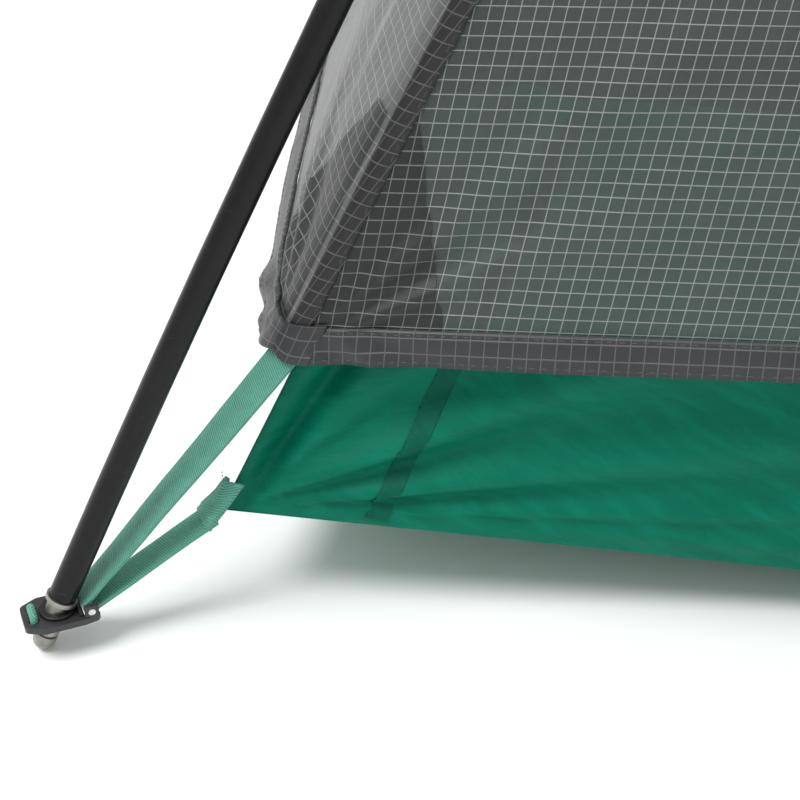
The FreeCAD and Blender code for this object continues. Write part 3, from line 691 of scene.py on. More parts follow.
def cap_shape():
    """The hem's turned corner: it wraps the ridge's end and is rounded at the bottom."""
    front_out, left_out = Vector((0, -0.93, 0.3)), Vector((-0.93, 0, 0.3))

    def place(u, v):
        across = (2 * u - 1) * cap_half_width
        low = hem_edge - 0.0004 + 0.0042 * max(0.0, 1 - abs(across) / 0.011) ** 2
        along = low + (hem_top + 0.0022 - low) * v
        side = 0 if across > 0 else 1
        point = panel_cloth(side, -1 + abs(across) / corner_at(along)[side], along)
        turned = 0.5 + 0.5 * max(-1.0, min(1.0, across / 0.007))
        outward = left_out.lerp(front_out, turned).normalized()
        tuck = 0.0002 * noise.noise(Vector((across * 300, v * 3, 2.0)))
        return point + outward * (cap_lift - 0.0006 * abs(2 * u - 1) ** 3 + tuck)

    return cloth_shape(60, 14, place, lambda u, v: ((2 * u - 1) * cap_half_width, v * hem_depth))


for corner in corners:
    thickened(at_corner(cap_shape(), "hem_corner_", corner, hem_cloth), cap_thickness)
print("hems:", len(hems), "with", len(corners), "turned corners")

# %% [markdown]
# At each canopy corner a kite of doubled cloth spreads the strap's pull. Its threads run with the
# panel's, and two layers let less light through, so it is a dark patch with a cut edge.

# %% Corner reinforcements
patch_lift, kite_height = 0.0003, 0.068


def kite_shape(side, wide):
    def spot(u, v):
        along = hem_top + 0.001 + kite_height * v
        edge = wide + (0.009 - wide) * v + 0.0022 * noise.noise(Vector((v * 9, wide * 70, 0.0)))
        return -1 + max(0.002, edge * u) / corner_at(along)[side], along

    return cloth_shape(60, 50, lambda u, v: panel_cloth(side, *spot(u, v), patch_lift),
                       lambda u, v: on_cut(*spot(u, v), side))


patches = []
for corner in corners:
    for side, (kind, wide) in enumerate((("long", 0.046), ("end", 0.040))):
        patches.append(at_corner(kite_shape(side, wide), f"corner_kite_{kind}_", corner, patch_cloth))
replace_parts(patches[0], "corner_patches")
print("corner kites:", len(patches))

# %% [markdown]
# The crown patch covers the panels' four top edges under the crossing of the poles.

# %% Crown patch
def crown_shape():
    hx, hy, height, _ = corner_at(crown_along)
    hx, hy = hx + 0.006, hy + 0.006
    top = ridge(4 * section, canopy_drop)[1]

    def place(u, v):
        x, y = 2 * u - 1, 2 * v - 1
        reach = max(abs(x), abs(y))
        ridge_rise = (top - height) * (1 - reach * reach) * (0.6 + 0.4 * abs(abs(x) - abs(y)))
        return Vector((x * hx, y * hy, height + 0.0012 + ridge_rise))

    return cloth_shape(40, 28, place, lambda u, v: (2 * u * hx, 2 * v * hy))


crown = thickened(paint(piece_from(crown_shape(), "crown_patch_cloth"), patch_cloth, "dark_cloth"), 0.0004)
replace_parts(crown, "crown_patch")
print("crown patch:", len(crown.data.polygons), "faces")

# %% [markdown]
# The groundsheet is a bathtub: its base turns up into walls that stand inside the canopy. At the
# corners it is lifted off the ground by the straps. Its cloth is a closer weave than the canopy's,
# coated on one side, with a soft shine and creases where it has been packed.


# %% Floor cloth
def floor_finish(name, ground, deep, shine=0.42):
    f = Finish(name)
    uv, place = f.cloth(), f.place()
    u, v, _ = f.axes(uv)
    slant = f.stretched(f.node("ShaderNodeMapping", {}, uv, Rotation=(0, 0, 0.42)), 30, 120, 30)
    packed_creases_and_highlight = f.cloud(slant, 1.6, 5.0, 0.62)
    wide = f.cloud(place, 14, 3.0)
    weave = f.line(u, 0.00042, 0.0003) + f.line(v, 0.00042, 0.0003)
    specks = (f.cloud(uv, 1400, 2.0) - 0.62).clamped() * 3.0
    base = f.mixed(wide, tone(*ground), tone(*deep))
    # Painted highlight: the crease noise also lightens the green, standing in for the light on the creases'
    # raised facets.
    base = f.mixed((packed_creases_and_highlight - 0.45).clamped() * 1.6, base, tone(*[g * 1.12 + 8 for g in ground]))
    f.set(Base_Color=f.mixed(specks * 0.12, base, tone(120, 180, 155)),
          Roughness=(packed_creases_and_highlight * 0.25 + shine - 0.06).clamped(), Specular_IOR_Level=0.10)
    f.raised(packed_creases_and_highlight * 1.0 + weave * 0.05 + wide * 0.5, 0.0011, 0.5)
    return f


floor_cloth = floor_finish("floor_cloth", (0, 114, 90), (0, 92, 70))
# Painted shade: the doubled floor cloth is the same green made darker, standing in for the light that the
# extra layer stops.
floor_double = floor_finish("floor_cloth_double", (0, 92, 71), (0, 74, 56))

# %% [markdown]
# The walls' shapes: each runs between two lifted corners, bowed inwards and down to the ground.
# The creases fan out from the sewn tab at the corner, nearly level along the bottom and steeper
# higher up.

# %% The floor's surfaces
corner_lift, wall_top = 0.0368, 0.163
base_bow, wall_bow, corner_seam = 0.055, 0.020, 0.042
floor_corner_along = length_to_height(corner_lift, floor_drop)
low_half = corner_at(floor_corner_along, floor_drop)[:2]
top_half = corner_at(length_to_height(wall_top, floor_drop), floor_drop)[:2]
wall_seeds = (2.0, 8.0)
floor_creases = ((3.3, 1.5, 0.0018, 0.42), (5.2, 1.4, -0.0016, 0.40), (7.2, 1.8, 0.0022, 0.38),
                 (10.8, 2.6, -0.0030, 0.34), (17, 3.5, 0.0024, 0.28), (26, 5.0, -0.0034, 0.28),
                 (36, 6.0, 0.0040, 0.28), (48, 7.0, -0.0034, 0.22))


def floor_fold(distance, height, point, seed):
    fans = fan(distance, height, floor_creases, 0.05)
    swell = dents(point, 0.16, 0.0040, seed) * min(1.0, distance / 0.12)
    small = dents(point, 0.030, 0.0006, seed + 3)
    return (fans + swell + small) * min(1.0, distance / 0.012)


def wall_point(side, distance, up, seed):
    """Side 0 is the front wall, 1 the left one; distance from its nearer corner, up from 0 to 1."""
    other = 1 - side
    spread = 1 - fade(distance)
    share = distance / low_half[side]
    lower, upper = Vector((0, 0, corner_lift * fade(distance))), Vector((0, 0, wall_top))
    lower[side], lower[other] = -low_half[side] + distance, -low_half[other] + base_bow * spread
    upper[side], upper[other] = -top_half[side] * (1 - share), -top_half[other] + wall_bow * spread
    point = lower.lerp(upper, up)
    fold = floor_fold(distance, (point - lower).length, point, seed) * min(1.0, up / 0.06)
    point[other] -= fold * min(1.0, (1.06 - up) / 0.2)
    point.z = max(0.0002, point.z)
    return point


def whole_wall(side, seed):
    def from_corner(u):
        return corner_seam + (low_half[side] - corner_seam) * (1 - abs(2 * u - 1)) ** 1.35

    def place(u, v):
        point = wall_point(side, from_corner(u), v, seed)
        if u > 0.5:
            point[side] = -point[side]
        return point

    def flat(u, v):
        return math.copysign(low_half[side] - from_corner(u), u - 0.5), v * 0.17

    return cloth_shape(420, 60, place, flat)


wall_height = (wall_point(0, 0.6, 1.0, wall_seeds[0]) - wall_point(0, 0.6, 0.0, wall_seeds[0])).length
for name, side, seed, turned in (
        ("floor_wall_front", 0, wall_seeds[0], False), ("floor_wall_back", 0, 13.0, True),
        ("floor_wall_left", 1, wall_seeds[1], False), ("floor_wall_right", 1, 19.0, True)):
    piece = piece_from(in_place(whole_wall(side, seed), turned), name + "_cloth")
    paint(piece, floor_cloth, "green_cloth")
    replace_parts(piece, name)
    2 * (low_half[side] - corner_seam)
    print(piece.name, len(piece.data.polygons), "faces")

# %% [markdown]
# A separate corner piece wraps each corner edge, from seam to seam. The edge itself is a narrow
# facet, pulled flat by the strap, with a deep fold beside it.

# %% Floor corners
corner_piece_height, allowance, fold_depth, edge_pull = 0.14, 0.0062, 0.0070, 0.20


def corner_shape():
    def place(u, v):
        s = (2 * u - 1) * (corner_seam + 0.0005)
        side = 0 if s < 0 else 1
        point = wall_point(side, abs(s), v, wall_seeds[side])
        facet = 0.0015 + 0.010 * v
        if abs(s) < facet:
            point += Vector((diagonal.x, diagonal.y, 0)) * (facet - abs(s)) * edge_pull
        if side == 0:
            valley, width = facet + 0.004 + 0.012 * v, 0.003 + 0.006 * v
            point.y += fold_depth * min(1.0, v / 0.15) * math.exp(-((abs(s) - valley) / width) ** 2)
        return point

    return cloth_shape(90, 70, place, lambda u, v: ((2 * u - 1) * corner_seam, v * corner_piece_height))


def allowance_shape(side):
    """The corner piece's edge, turned under the wall; its band gets the darker doubled green, painted shade
    for the light the extra layer stops.
    """
    inwards = (Vector((0, 1, 0)), Vector((1, 0, 0)))[side]

    def place(u, v):
        point = wall_point(side, corner_seam + allowance * u, 0.02 + 0.96 * v, wall_seeds[side])
        return point - inwards * 0.0004

    return cloth_shape(6, 70, place, lambda u, v: (u * 0.007, v * corner_piece_height))


corner_pieces = []
for corner in corners:
    corner_pieces.append(at_corner(corner_shape(), "floor_corner_", corner, floor_cloth, "green_cloth"))
    for side, kind in enumerate(("long", "end")):
        at_corner(allowance_shape(side), f"floor_allowance_{kind}_", corner, floor_double, "green_cloth")
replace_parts(corner_pieces[0], "floor_corner_pieces")
print("floor corners:", len(corner_pieces))

# %% [markdown]
# The base lies on the ground and rises to its lifted corners. Its edge is joined to the walls.

# %% Floor base
def base_shape():
    def place(u, v):
        x, y = share_at(u), share_at(v)
        tx, ty = (1 - abs(x)) * low_half[0], (1 - abs(y)) * low_half[1]
        half_length = low_half[0] - base_bow * (1 - fade(ty))
        half_width = low_half[1] - base_bow * (1 - fade(tx))
        point = Vector((x * half_length, y * half_width, 0.0))
        lift = corner_lift * fade(tx) * fade(ty)
        wrinkle = max(0.0, dents(Vector((point.x, point.y, 0)), 0.14, 0.006, 4.0))
        edge = min(1.0, min(tx, ty) / 0.05)
        point.z = lift + 0.0004 + wrinkle * edge
        return point

    return cloth_shape(220, 150, place, lambda u, v: (share_at(u) * low_half[0], share_at(v) * low_half[1]))


base = paint(piece_from(base_shape(), "floor_base_cloth"), floor_cloth, "green_cloth")
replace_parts(base, "floor_base")
corner_loss = 0.93
2 * low_half[0]
2 * low_half[1]
4 * low_half[0] * low_half[1] * corner_loss
print(base.name, len(base.data.polygons), "faces")

# %% [markdown]
# Each foot: the pole's tip stands through a small plate, and a single length of ribbed webbing
# comes down from the canopy's corner, turns round a bar on the plate and goes up again to the
# floor's corner. The strap's middle line is worked out in the arch's own plane, with the foot at
# the origin, and then stood in its corner.


# %% Webbing
def webbing_finish(name, ground, rib, pitch=0.00075, lean=0.35):
    f = Finish(name)
    uv = f.cloth()
    u, v, _ = f.axes(uv)
    rows = f.line(v + u * lean, pitch, pitch * 0.62)
    picks = f.line(u, 0.0009, 0.0006)
    wear = f.cloud(f.place(), 240, 3.0)
    edge = (u.math("ABSOLUTE") * (1 / 0.0050) - 0.86).clamped() * 4.0
    base = f.mixed(rows * 0.9, tone(*ground), tone(*rib))
    base = f.mixed((wear - 0.4).clamped() * 0.8, base, tone(*[min(255, r * 1.12) for r in rib]))
    f.set(Base_Color=f.mixed(edge * 0.35, base, tone(*ground)), Roughness=(wear * 0.2 + 0.55).clamped(),
          Sheen_Weight=0.25, Sheen_Roughness=0.35)
    f.raised(rows * 1.0 + picks * 0.35, 0.00025, 0.8)
    return f


green_webbing = webbing_finish("webbing_green", (62, 136, 114), (100, 176, 155))
grey_webbing = webbing_finish("webbing_grey", (44, 45, 46), (72, 74, 75))

# %% The feet's measures
plate_height, plate_top, bar_above_plate, bar_from_bore = 0.0111, 0.0133, 0.0018, 0.0100
webbing_width, webbing_thickness, bar_radius = 0.010, 0.0012, 0.0011
wrap_radius = bar_radius + 0.00015 + webbing_thickness / 2
bore_x = ((plate_height + plate_top) / 2 - tip_radius) / math.tan(foot_slope)
bar = Vector((bore_x + bar_from_bore, 0, plate_top + bar_above_plate))
floor_corner_reach, floor_corner_height, _ = ridge(floor_corner_along, floor_drop)
strap_bottom = Vector((floor_corner_reach - 0.002, 0, floor_corner_height - 0.001))
strap_top = Vector((ridge(hem_edge, canopy_drop)[0] + 0.0034, 0, hem_height - 0.0015))


def leg_angle(end, side):
    run = end - bar
    return math.atan2(run.z, run.x) - side * math.asin(wrap_radius / run.length)


strap_twist, leg_steps, turn_steps = 0.48, 40, 26


def strap_line():
    """Points and outward directions of the strap, from the canopy round the bar to the floor."""
    over, under = leg_angle(strap_top, 1), leg_angle(strap_bottom, -1)
    first = Vector((-math.sin(over), 0, math.cos(over)))
    upwards = Vector((math.cos(over), 0, math.sin(over)))
    tangent_point = bar + first * wrap_radius
    tucked = strap_top + upwards * 0.006
    line = []
    for i in range(leg_steps):
        twist = Matrix.Rotation(strap_twist * (1 - i / leg_steps) ** 1.2, 3, upwards)
        line.append((tucked.lerp(tangent_point, i / leg_steps), twist @ first))
    turn = math.pi - (over - under)
    for i in range(turn_steps + 1):
        outward = Matrix.Rotation(-turn * i / turn_steps, 3, "Y") @ first
        line.append((bar + outward * wrap_radius, outward))
    last = line[-1]
    for i in range(1, leg_steps + 1):
        line.append((last[0].lerp(strap_bottom, i / leg_steps), last[1]))
    return line


def stand(shape, x, y):
    """From the arch's plane to a corner."""
    heading = math.atan2(y * diagonal.y, x * diagonal.x)
    bmesh.ops.rotate(shape, verts=shape.verts, cent=(0, 0, 0), matrix=Matrix.Rotation(heading, 3, "Z"))
    bmesh.ops.translate(shape, verts=shape.verts, vec=(-x * half_x, -y * half_y, 0))
    return shape


print("strap ends", [round(v, 4) for v in (*strap_top, *strap_bottom)])

# %% [markdown]
# The strap is a ribbon with rounded edges: a grid laid along the line, with a thickness. It is
# baked in place and attached to no body.


# %% Corner straps
def ribbon_shape(line, width, sag):
    lengths = [0.0]
    for (a, _), (b, _) in zip(line, line[1:]):
        lengths.append(lengths[-1] + (b - a).length)

    def pick(v):
        position = v * (len(line) - 1)
        low = min(int(position), len(line) - 2)
        share = position - low
        (a, na), (b, nb) = line[low], line[low + 1]
        run = lengths[low] + (lengths[low + 1] - lengths[low]) * share
        return a.lerp(b, share), na.lerp(nb, share).normalized(), run

    def place(u, v):
        point, outward, _ = pick(v)
        across = (u - 0.5) * width
        cup = -abs(2 * u - 1) ** 4 * 0.00012
        wave = dents(Vector((point.x, across, point.z)), 0.018, sag)
        sideways = (Vector((0, 1, 0)) - outward * outward.y).normalized()
        return point + sideways * across + outward * (cup + wave)

    return cloth_shape(10, len(line) - 1, place, lambda u, v: ((u - 0.5) * width, pick(v)[2]))


def finished_edge(piece, width):
    bevel = piece.modifiers.new("edge", "BEVEL")
    bevel.width, bevel.segments, bevel.limit_method = width, 2, "ANGLE"
    return piece


straps, edge_round = [], 0.0003
for place_name, x, y in corners:
    shape = stand(ribbon_shape(strap_line(), webbing_width, 0.00025), x, y)
    bmesh.ops.recalc_face_normals(shape, faces=shape.faces)
    strap = piece_from(shape, "corner_strap_webbing_" + place_name, body=None, smooth=False)
    finished_edge(thickened(strap, webbing_thickness), edge_round)
    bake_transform(strap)
    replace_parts(strap, "corner_strap_" + place_name)
    straps.append(paint(strap, green_webbing, "green_webbing"))
print("straps:", len(straps))

# %% [markdown]
# Where the strap meets the floor it is held in a folded tab, whipped along its open edge.


# %% Strap tabs
tab_climb, tab_overlap, tab_thickness = 0.0110, 0.0035, 0.0016


def tab_shape():
    """From the strap's end it folds round the floor's corner edge and runs up it."""
    edge_start = ridge(floor_corner_along, floor_drop)
    edge_end = ridge(floor_corner_along + tab_climb, floor_drop)
    foot_of_edge = Vector((edge_start[0] - 0.0022, 0, edge_start[1] + 0.0010))
    top_of_edge = Vector((edge_end[0] - 0.0018, 0, edge_end[1]))
    under = leg_angle(strap_bottom, -1)
    start = strap_bottom - Vector((math.cos(under), 0, math.sin(under))) * tab_overlap
    to_front = Vector((diagonal.x, -diagonal.y, 0))
    to_end = Vector((diagonal.y, diagonal.x, 0))

    def place(u, v):
        across = (2 * u - 1) * 0.0054
        spine = start.lerp(foot_of_edge, v).lerp(foot_of_edge.lerp(top_of_edge, v), v)
        folded = 0.85 * max(0.0, (v - 0.25) / 0.75)
        wrapped = (to_front if across < 0 else to_end * 0.25) * abs(across)
        frayed = 0.0003 * noise.noise(Vector((u * 9, 4.0, 1.0))) if v > 0.97 else 0.0
        soft = 0.0002 * noise.noise(Vector((u * 6, v * 9, 2.0)))
        return spine + Vector((0, across, 0)).lerp(wrapped, folded) + Vector((-soft, 0, frayed))

    return cloth_shape(24, 36, place, lambda u, v: ((u - 0.5) * 0.0108, v * 0.014))


tabs = []
for corner in corners:
    tab = at_corner(stand(tab_shape(), 1, 1), "strap_tab_", corner, green_webbing, "green_webbing")
    tabs.append(finished_edge(thickened(tab, tab_thickness, 0.4), edge_round))
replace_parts(tabs[0], "strap_tabs")
print("tabs:", len(tabs))

# %% [markdown]
# The stake loop is a short braided cord closed through two holes at the plate's outer end. It is
# a small ring that the plate carries, made as a bevelled curve.

# %% Stake loops
cord_radius, loop_from_bore, loop_gap, loop_bend = 0.0012, 0.0067, 0.0004, 0.0012
loop_side, loop_straight = 0.0027, 0.0022


def braid_finish(name, ground, light):
    f = Finish(name)
    place = f.place()
    x, y, z = f.axes(place)
    one = f.line(x + z + y * 0.5, 0.0011, 0.0006)
    other = f.line(x - z - y * 0.5, 0.0011, 0.0006)
    fuzz = f.cloud(place, 1500, 2.0)
    strands = one.top(other)
    f.set(Base_Color=f.mixed(strands * 0.8 + fuzz * 0.2, tone(*ground), tone(*light)),
          Roughness=(fuzz * 0.2 + 0.6).clamped(), Sheen_Weight=0.2)
    f.raised(strands * 1.0 + fuzz * 0.3, 0.0003, 0.7)
    return f


loop_cord = braid_finish("loop_cord", (40, 112, 92), (92, 170, 146))


def loop_shape():
    x = bore_x - loop_from_bore
    top = plate_top + cord_radius + loop_gap
    bottom = plate_height - cord_radius - loop_gap
    curve = bpy.data.curves.new("loop", "CURVE")
    curve.dimensions, curve.bevel_depth, curve.bevel_resolution = "3D", cord_radius, 4
    curve.resolution_u = 8
    spline = curve.splines.new("NURBS")
    way_down = [(loop_straight, top), (loop_side, top - loop_bend), (loop_side, (top + bottom) / 2),
                (loop_side, bottom + loop_bend), (loop_straight, bottom)]
    route = [(0, top), *way_down, (0, bottom), *[(-y, z) for y, z in reversed(way_down)]]
    spline.points.add(len(route) - 1)
    for point, (y, z) in zip(spline.points, route):
        point.co = (x, y, z, 1)
    spline.use_cyclic_u = True
    spline.order_u = 3
    holder = bpy.data.objects.new("loop", curve)
    bpy.context.scene.collection.objects.link(holder)
    bpy.context.view_layer.update()
    mesh = bpy.data.meshes.new_from_object(holder)
    bpy.data.objects.remove(holder)
    shape = bmesh.new()
    shape.from_mesh(mesh)
    bpy.data.meshes.remove(mesh)
    return shape


for place_name, x, y in corners:
    loop = piece_from(stand(loop_shape(), x, y), "stake_loop_cord_" + place_name, "plate_" + place_name)
    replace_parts(paint(loop, loop_cord, "green_cord"), "stake_loop_" + place_name)
print("stake loops:", len(corners))

# %% [markdown]
# Small tapes tie the clips to the ridge. They are short straight ribbons, so each is laid along
# the pole's own direction as a small cloth grid, from the clip's stem down to the seam.

# %% Clip tapes
clip_stations, clip_stem = (0.330, 0.700, 1.060, 1.400), 0.0150


def clip_tape_shape():
    joined = bmesh.new()
    holder = bpy.data.meshes.new("tape_part")
    for along in clip_stations:
        reach, height, slope = ridge(along, 0.0)
        inwards = Vector((math.sin(slope), 0, -math.cos(slope)))
        direction = Vector((math.cos(slope), 0, math.sin(slope)))
        start = Vector((reach, 0, height)) + inwards * clip_stem
        end = Vector((reach, 0, height)) + inwards * (canopy_drop + 0.0006)

        def place(u, v, start=start, end=end, direction=direction):
            loop_out = Vector((0, 0.0006 + 0.0009 * math.sin(math.pi * v), 0))
            return start.lerp(end, v) + direction * (u - 0.5) * webbing_width + loop_out

        part = cloth_shape(6, 12, place, lambda u, v: ((u - 0.5) * webbing_width, v * 0.011))
        part.to_mesh(holder)
        part.free()
        joined.from_mesh(holder)
    bpy.data.meshes.remove(holder)
    return joined


clip_tapes = []
for place_name, x, y in corners:
    tape = piece_from(stand(clip_tape_shape(), x, y), "clip_tapes_" + place_name)
    clip_tapes.append(thickened(paint(tape, grey_webbing, "grey_webbing"), webbing_thickness, 0))
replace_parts(clip_tapes[0], "clip_tapes")
print("clip tapes:", len(clip_tapes) * len(clip_stations))

# %% [markdown]
# The zip is a coil on two woven tapes. Each tooth of the coil is a short bent bar with a few
# faces, repeated every 1.5 mm up both tapes.

# %% Zip
chain_gap, tape_width, tooth_pitch = 0.0012, 0.012, 0.0015


def zip_finish():
    f = Finish("zip_tape")
    uv = f.cloth()
    u, v, _ = f.axes(uv)
    knit = f.line(u + v * 0.6, 0.0008, 0.0005).top(f.line(u - v * 0.6, 0.0008, 0.0005))
    fuzz = f.cloud(f.place(), 900, 2.0)
    f.set(Base_Color=f.mixed(knit * 0.6 + fuzz * 0.3, tone(26, 27, 28), tone(58, 59, 61)),
          Roughness=(fuzz * 0.2 + 0.6).clamped(), Sheen_Weight=0.15)
    f.raised(knit, 0.0002, 0.6)
    return f


def on_door(x, out, up):
    return door_foot + Vector((x, 0, 0)) + door_out * out + door_up * up


def zip_tape_shape(side):
    def place(u, v):
        x = side * (chain_gap / 2 + u * (tape_width + 0.002))
        ripple = 0.0005 * noise.noise(Vector((v * 30, u * 3, side)))
        return on_door(x, ripple - 0.0002, v * (door_length - 0.001) - 0.006 * (1 - v))

    return cloth_shape(8, 240, place, lambda u, v: (u * tape_width, v * door_length))


def coil_shape(side):
    shape = bmesh.new()
    count = int(door_length / tooth_pitch)
    turn = Matrix.Rotation(math.atan2(door_out.z, -door_out.y), 4, "X")
    for i in range(count):
        place = on_door(side * (chain_gap / 2 + 0.0008), 0.0, (i + 0.5) * tooth_pitch)
        flat = Matrix.Diagonal((0.0027, 0.0022, 0.0009, 1))
        bmesh.ops.create_icosphere(shape, subdivisions=1, radius=0.62,
                                   matrix=Matrix.Translation(place) @ turn @ flat)
    return shape


zip_cloth = zip_finish()
zip_pieces = []
for side, label in ((-1, "left"), (1, "right")):
    tape = paint(piece_from(zip_tape_shape(side), "zip_tape_" + label), zip_cloth, "zip_coil")
    coil = piece_from(coil_shape(side), "zip_coil_" + label)
    zip_pieces += [thickened(tape, 0.0005), coil]
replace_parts(zip_pieces[0], "zip_tapes")
print("zip:", int(door_length / tooth_pitch), "teeth a side")

# %% [markdown]
# Stitches are real thread: short capsules laid end to end along a line on the cloth, sunk a
# little at their ends. One helper makes a row of them for the hems, seams and tabs.


# %% Stitches
def stitch_row(name, line, normals, length, gap, radius, finish, slot):
    """line is a list of points close together; a stitch is laid every length plus gap."""
    shape = bmesh.new()
    walked, started = 0.0, 0.0
    for (a, n), (b, _) in zip(zip(line, normals), zip(line[1:], normals[1:])):
        step = (b - a).length
        while started <= walked + step:
            share = (started - walked) / step
            direction = (b - a).normalized()
            side_way = direction.cross(n).normalized()
            upward = side_way.cross(direction)
            turn = Matrix((side_way, direction, upward)).transposed().to_4x4()
            place = Matrix.Translation(a.lerp(b, share) + direction * length / 2)
            size = Matrix.Diagonal((radius, length / 2, radius, 1))
            bmesh.ops.create_icosphere(shape, subdivisions=1, radius=1.0, matrix=place @ turn @ size)
            started += length + gap
        walked += step
    return paint(piece_from(shape, name), finish, slot)


def thread_finish(name, ground, light):
    f = Finish(name)
    twist = f.cloud(f.place(), 3000, 2.0)
    f.set(Base_Color=f.mixed(twist, tone(*ground), tone(*light)), Roughness=(twist * 0.2 + 0.5).clamped())
    f.raised(twist, 0.0001, 0.5)
    return f


grey_thread = thread_finish("thread_grey", (44, 45, 47), (92, 94, 96))
green_thread = thread_finish("thread_green", (4, 58, 46), (16, 96, 78))
tab_thread = thread_finish("thread_tab", (40, 108, 88), (104, 178, 156))
canopy_stitch, floor_stitch, tab_stitch = (0.0024, 0.0009), (0.0026, 0.0011), (0.0011, 0.0005)


def mirrored(point, x, y):
    return Vector((point.x * x, point.y * y, point.z))


def hem_line(side, above, start, end, seed, turned, steps=500):
    points, normals = [], []
    for i in range(steps + 1):
        share = start + (end - start) * i / steps
        out = panel_out(side, ridge(hem_top, canopy_drop)[2])
        along = hem_edge + (hem_top + hem_fold - hem_edge) * above
        point = panel_cloth(side, share, along, 0.0013, seed)
        points.append(turned_half(point) if turned else point)
        normals.append(turned_half(out) if turned else out)
    return points, normals


for name, side, start, end, seed, turned in (
        ("front_left", 0, -0.994, -half_slot, 0.0, False), ("front_right", 0, half_slot, 0.994, 0.0, False),
        ("back", 0, -0.994, 0.994, 11.0, True),
        ("left", 1, -0.99, 0.99, 5.0, False), ("right", 1, -0.99, 0.99, 17.0, True)):
    for row, above in (("low", 0.13), ("high", 0.87)):
        line, normals = hem_line(side, above, start, end, seed, turned)
        stitch_row(f"stitches_hem_{name}_{row}", line, normals, *canopy_stitch, 0.00017, grey_thread,
                   "dark_cloth")



def stitches_at_corner(name, points, out, x, y, size, finish, slot):
    """A row at the front left corner, mirrored to another; all its stitches face one way."""
    line = [mirrored(point, x, y) for point in points]
    stitch_row(name, line, [mirrored(out, x, y)] * len(line), *size, finish, slot)


def ridge_line():
    for i in range(301):
        along = hem_edge + 0.010 + (crown_along - hem_edge - 0.012) * i / 300
        across = (seam_width - 0.0012) / ridge_lean(along, 0)[1]
        yield panel_cloth(0, -1 + across / corner_at(along)[0], along, 0.0009)


def floor_seam_line(side, normal):
    seed = wall_seeds[side]
    for i in range(121):
        v = 0.01 + 0.97 * i / 120
        wander = 0.0005 * noise.noise(Vector((v * 30, seed, 0)))
        yield wall_point(side, corner_seam + wander, v, seed) + normal * 0.0003


def tab_line():
    edge_end = ridge(floor_corner_along + 0.0112, floor_drop)
    heading = Matrix.Rotation(math.atan2(diagonal.y, diagonal.x), 3, "Z")
    for i in range(41):
        across = 0.0050 * (1 - i / 20)
        wrapped = Vector((diagonal.x, -diagonal.y, 0)) if across < 0 else Vector((diagonal.y, diagonal.x, 0))
        folded = Vector((0, across, 0)).lerp(wrapped * abs(across), 0.35)
        point = Vector((edge_end[0] - 0.0034, 0, edge_end[1] + 0.0004)) + folded
        yield heading @ point - Vector((half_x, half_y, 0))


seam_out = Vector((-0.2, -1.0, 0.3)).normalized()
tab_out = Vector((-diagonal.x, -diagonal.y, 0))
wall_outs = (("long", Vector((0, -1, 0.1))), ("end", Vector((-1, 0, 0.1))))
for place_name, x, y in corners:
    stitches_at_corner("stitches_ridge_" + place_name, ridge_line(), seam_out, x, y,
                       (*canopy_stitch, 0.00016), grey_thread, "dark_cloth")
    for side, (kind, normal) in enumerate(wall_outs):
        stitches_at_corner(f"stitches_floor_{kind}_{place_name}", floor_seam_line(side, normal), normal, x, y,
                           (*floor_stitch, 0.00022), green_thread, "green_cloth")
    stitches_at_corner("stitches_tab_" + place_name, tab_line(), tab_out, x, y, (*tab_stitch, 0.0002),
                       tab_thread, "green_webbing")
print("stitched rows done")

# %% [markdown]
# The hard pieces keep their CAD shapes. Each gets the finish of what it is made of: anodised tube
# with fine drawing lines and rubbed patches, turned aluminium tips scuffed by the ground, moulded
# nylon, drawn wire.


# %% Hard finishes
def anodised_tube():
    f = Finish("pole_anodised")
    place = f.place()
    drawn = f.cloud(f.stretched(place, 900, 900, 30), 1.0, 3.0)
    rubbed = f.cloud(place, 35, 4.0, 0.65)
    scratches = (f.cloud(f.stretched(place, 160, 160, 700), 1.0, 2.0) - 0.66).clamped() * 4.0
    base = f.mixed((rubbed - 0.5).clamped() * 1.5, tone(25, 25, 27), tone(40, 40, 42))
    f.set(Base_Color=f.mixed(scratches * 0.35, base, tone(88, 88, 90)), Metallic=0.55,
          Roughness=(drawn * 0.12 + rubbed * 0.12 + 0.22).clamped(), Specular_IOR_Level=0.45)
    f.raised(drawn * 0.4 + scratches * -0.3, 0.0001, 0.35)
    return f


def turned_metal(name, dark, light, roughness, metallic=1.0, scale=500):
    f = Finish(name)
    place = f.place()
    lathe = f.cloud(f.stretched(place, 90, 90, 2600), 1.0, 2.0)
    scuffs = f.cloud(place, scale, 4.0, 0.7)
    dirt = f.cloud(place, 160, 3.0)
    base = f.mixed(scuffs, tone(*dark), tone(*light))
    f.set(Base_Color=f.mixed((dirt - 0.5).clamped() * 1.6, base, tone(*[d * 0.7 for d in dark])),
          Metallic=metallic, Roughness=(scuffs * 0.3 + roughness - 0.1).clamped())
    f.raised(lathe * 0.4 + scuffs * 0.8, 0.00012, 0.6)
    return f


def moulded(name, dark, light, roughness=0.45, grain=1600):
    f = Finish(name)
    place = f.place()
    spark = f.cells(place, grain)
    rub = f.cloud(place, 180, 3.0)
    f.set(Base_Color=f.mixed(rub, tone(*dark), tone(*light)),
          Roughness=(rub * 0.22 + roughness - 0.1).clamped(), Coat_Roughness=0.4)
    f.raised(spark * 0.7 + rub * 0.4, 0.00008, 0.5)
    return f


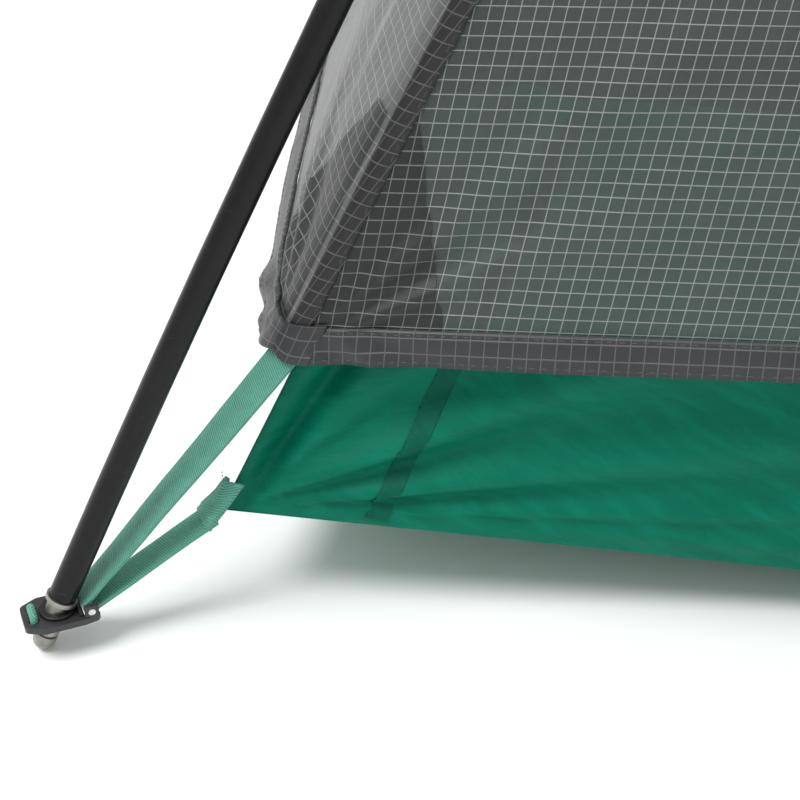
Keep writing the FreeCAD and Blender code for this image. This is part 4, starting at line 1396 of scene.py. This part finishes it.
def elastic():
    f = Finish("shock_cord")
    x, y, z = f.axes(f.place())
    strands = f.line(x + z, 0.0012, 0.0006).top(f.line(x - z + y, 0.0012, 0.0006))
    f.set(Base_Color=f.mixed(strands, tone(196, 196, 190), tone(92, 94, 96)), Roughness=0.7)
    f.raised(strands, 0.0002, 0.5)
    return f


tube = anodised_tube()
tip_metal = turned_metal("tip_aluminium", (118, 115, 110), (188, 187, 183), 0.36, 0.85)
ferrule_metal = turned_metal("ferrule_aluminium", (140, 140, 140), (200, 200, 200), 0.3)
wire = turned_metal("bar_wire", (186, 190, 188), (232, 236, 234), 0.30, 0.8, 900)
lacquer = turned_metal("zip_lacquer", (30, 30, 32), (64, 64, 66), 0.38, 0.6, 700)
plate_plastic = moulded("plate_plastic", (34, 34, 36), (54, 54, 56), 0.42)
grommet_black = turned_metal("grommet_black", (30, 30, 32), (56, 56, 58), 0.34, 0.6, 800)
clip_plastic = moulded("clip_plastic", (26, 26, 28), (44, 44, 46), 0.5, 1200)
hub_plastic = moulded("hub_plastic", (24, 24, 26), (42, 42, 44), 0.48, 900)
stretchy = elastic()
coil_plastic = moulded("zip_coil", (20, 20, 22), (40, 40, 42), 0.35, 2500)
for piece in zip_pieces:
    if piece.name.startswith("zip_coil"):
        paint(piece, coil_plastic, "zip_coil")

finishes = {"pole_ferrules": ferrule_metal, "pole_tips": tip_metal, "crossing_hub": hub_plastic,
            "pole_clips": clip_plastic, "lower_pole_shock_cord": stretchy, "upper_pole_shock_cord": stretchy,
            "zip_slider": lacquer, "zip_puller": lacquer}
for place_name, _, _ in corners:
    finishes["foot_plate_" + place_name] = plate_plastic
    finishes["plate_grommet_" + place_name] = grommet_black
    finishes["webbing_bar_" + place_name] = wire
for which in ("lower", "upper"):
    for number in range(1, 9):
        finishes[f"{which}_pole_section_{number}"] = tube
for name, finish in finishes.items():
    node = nodes[name]
    node.data.materials.clear()
    node.data.materials.append(finish.material)
    node.modifiers.new("smooth faces", "EDGE_SPLIT").split_angle = math.radians(32)
    node.data.polygons.foreach_set("use_smooth", [True] * len(node.data.polygons))
print("hard pieces finished:", len(finishes))
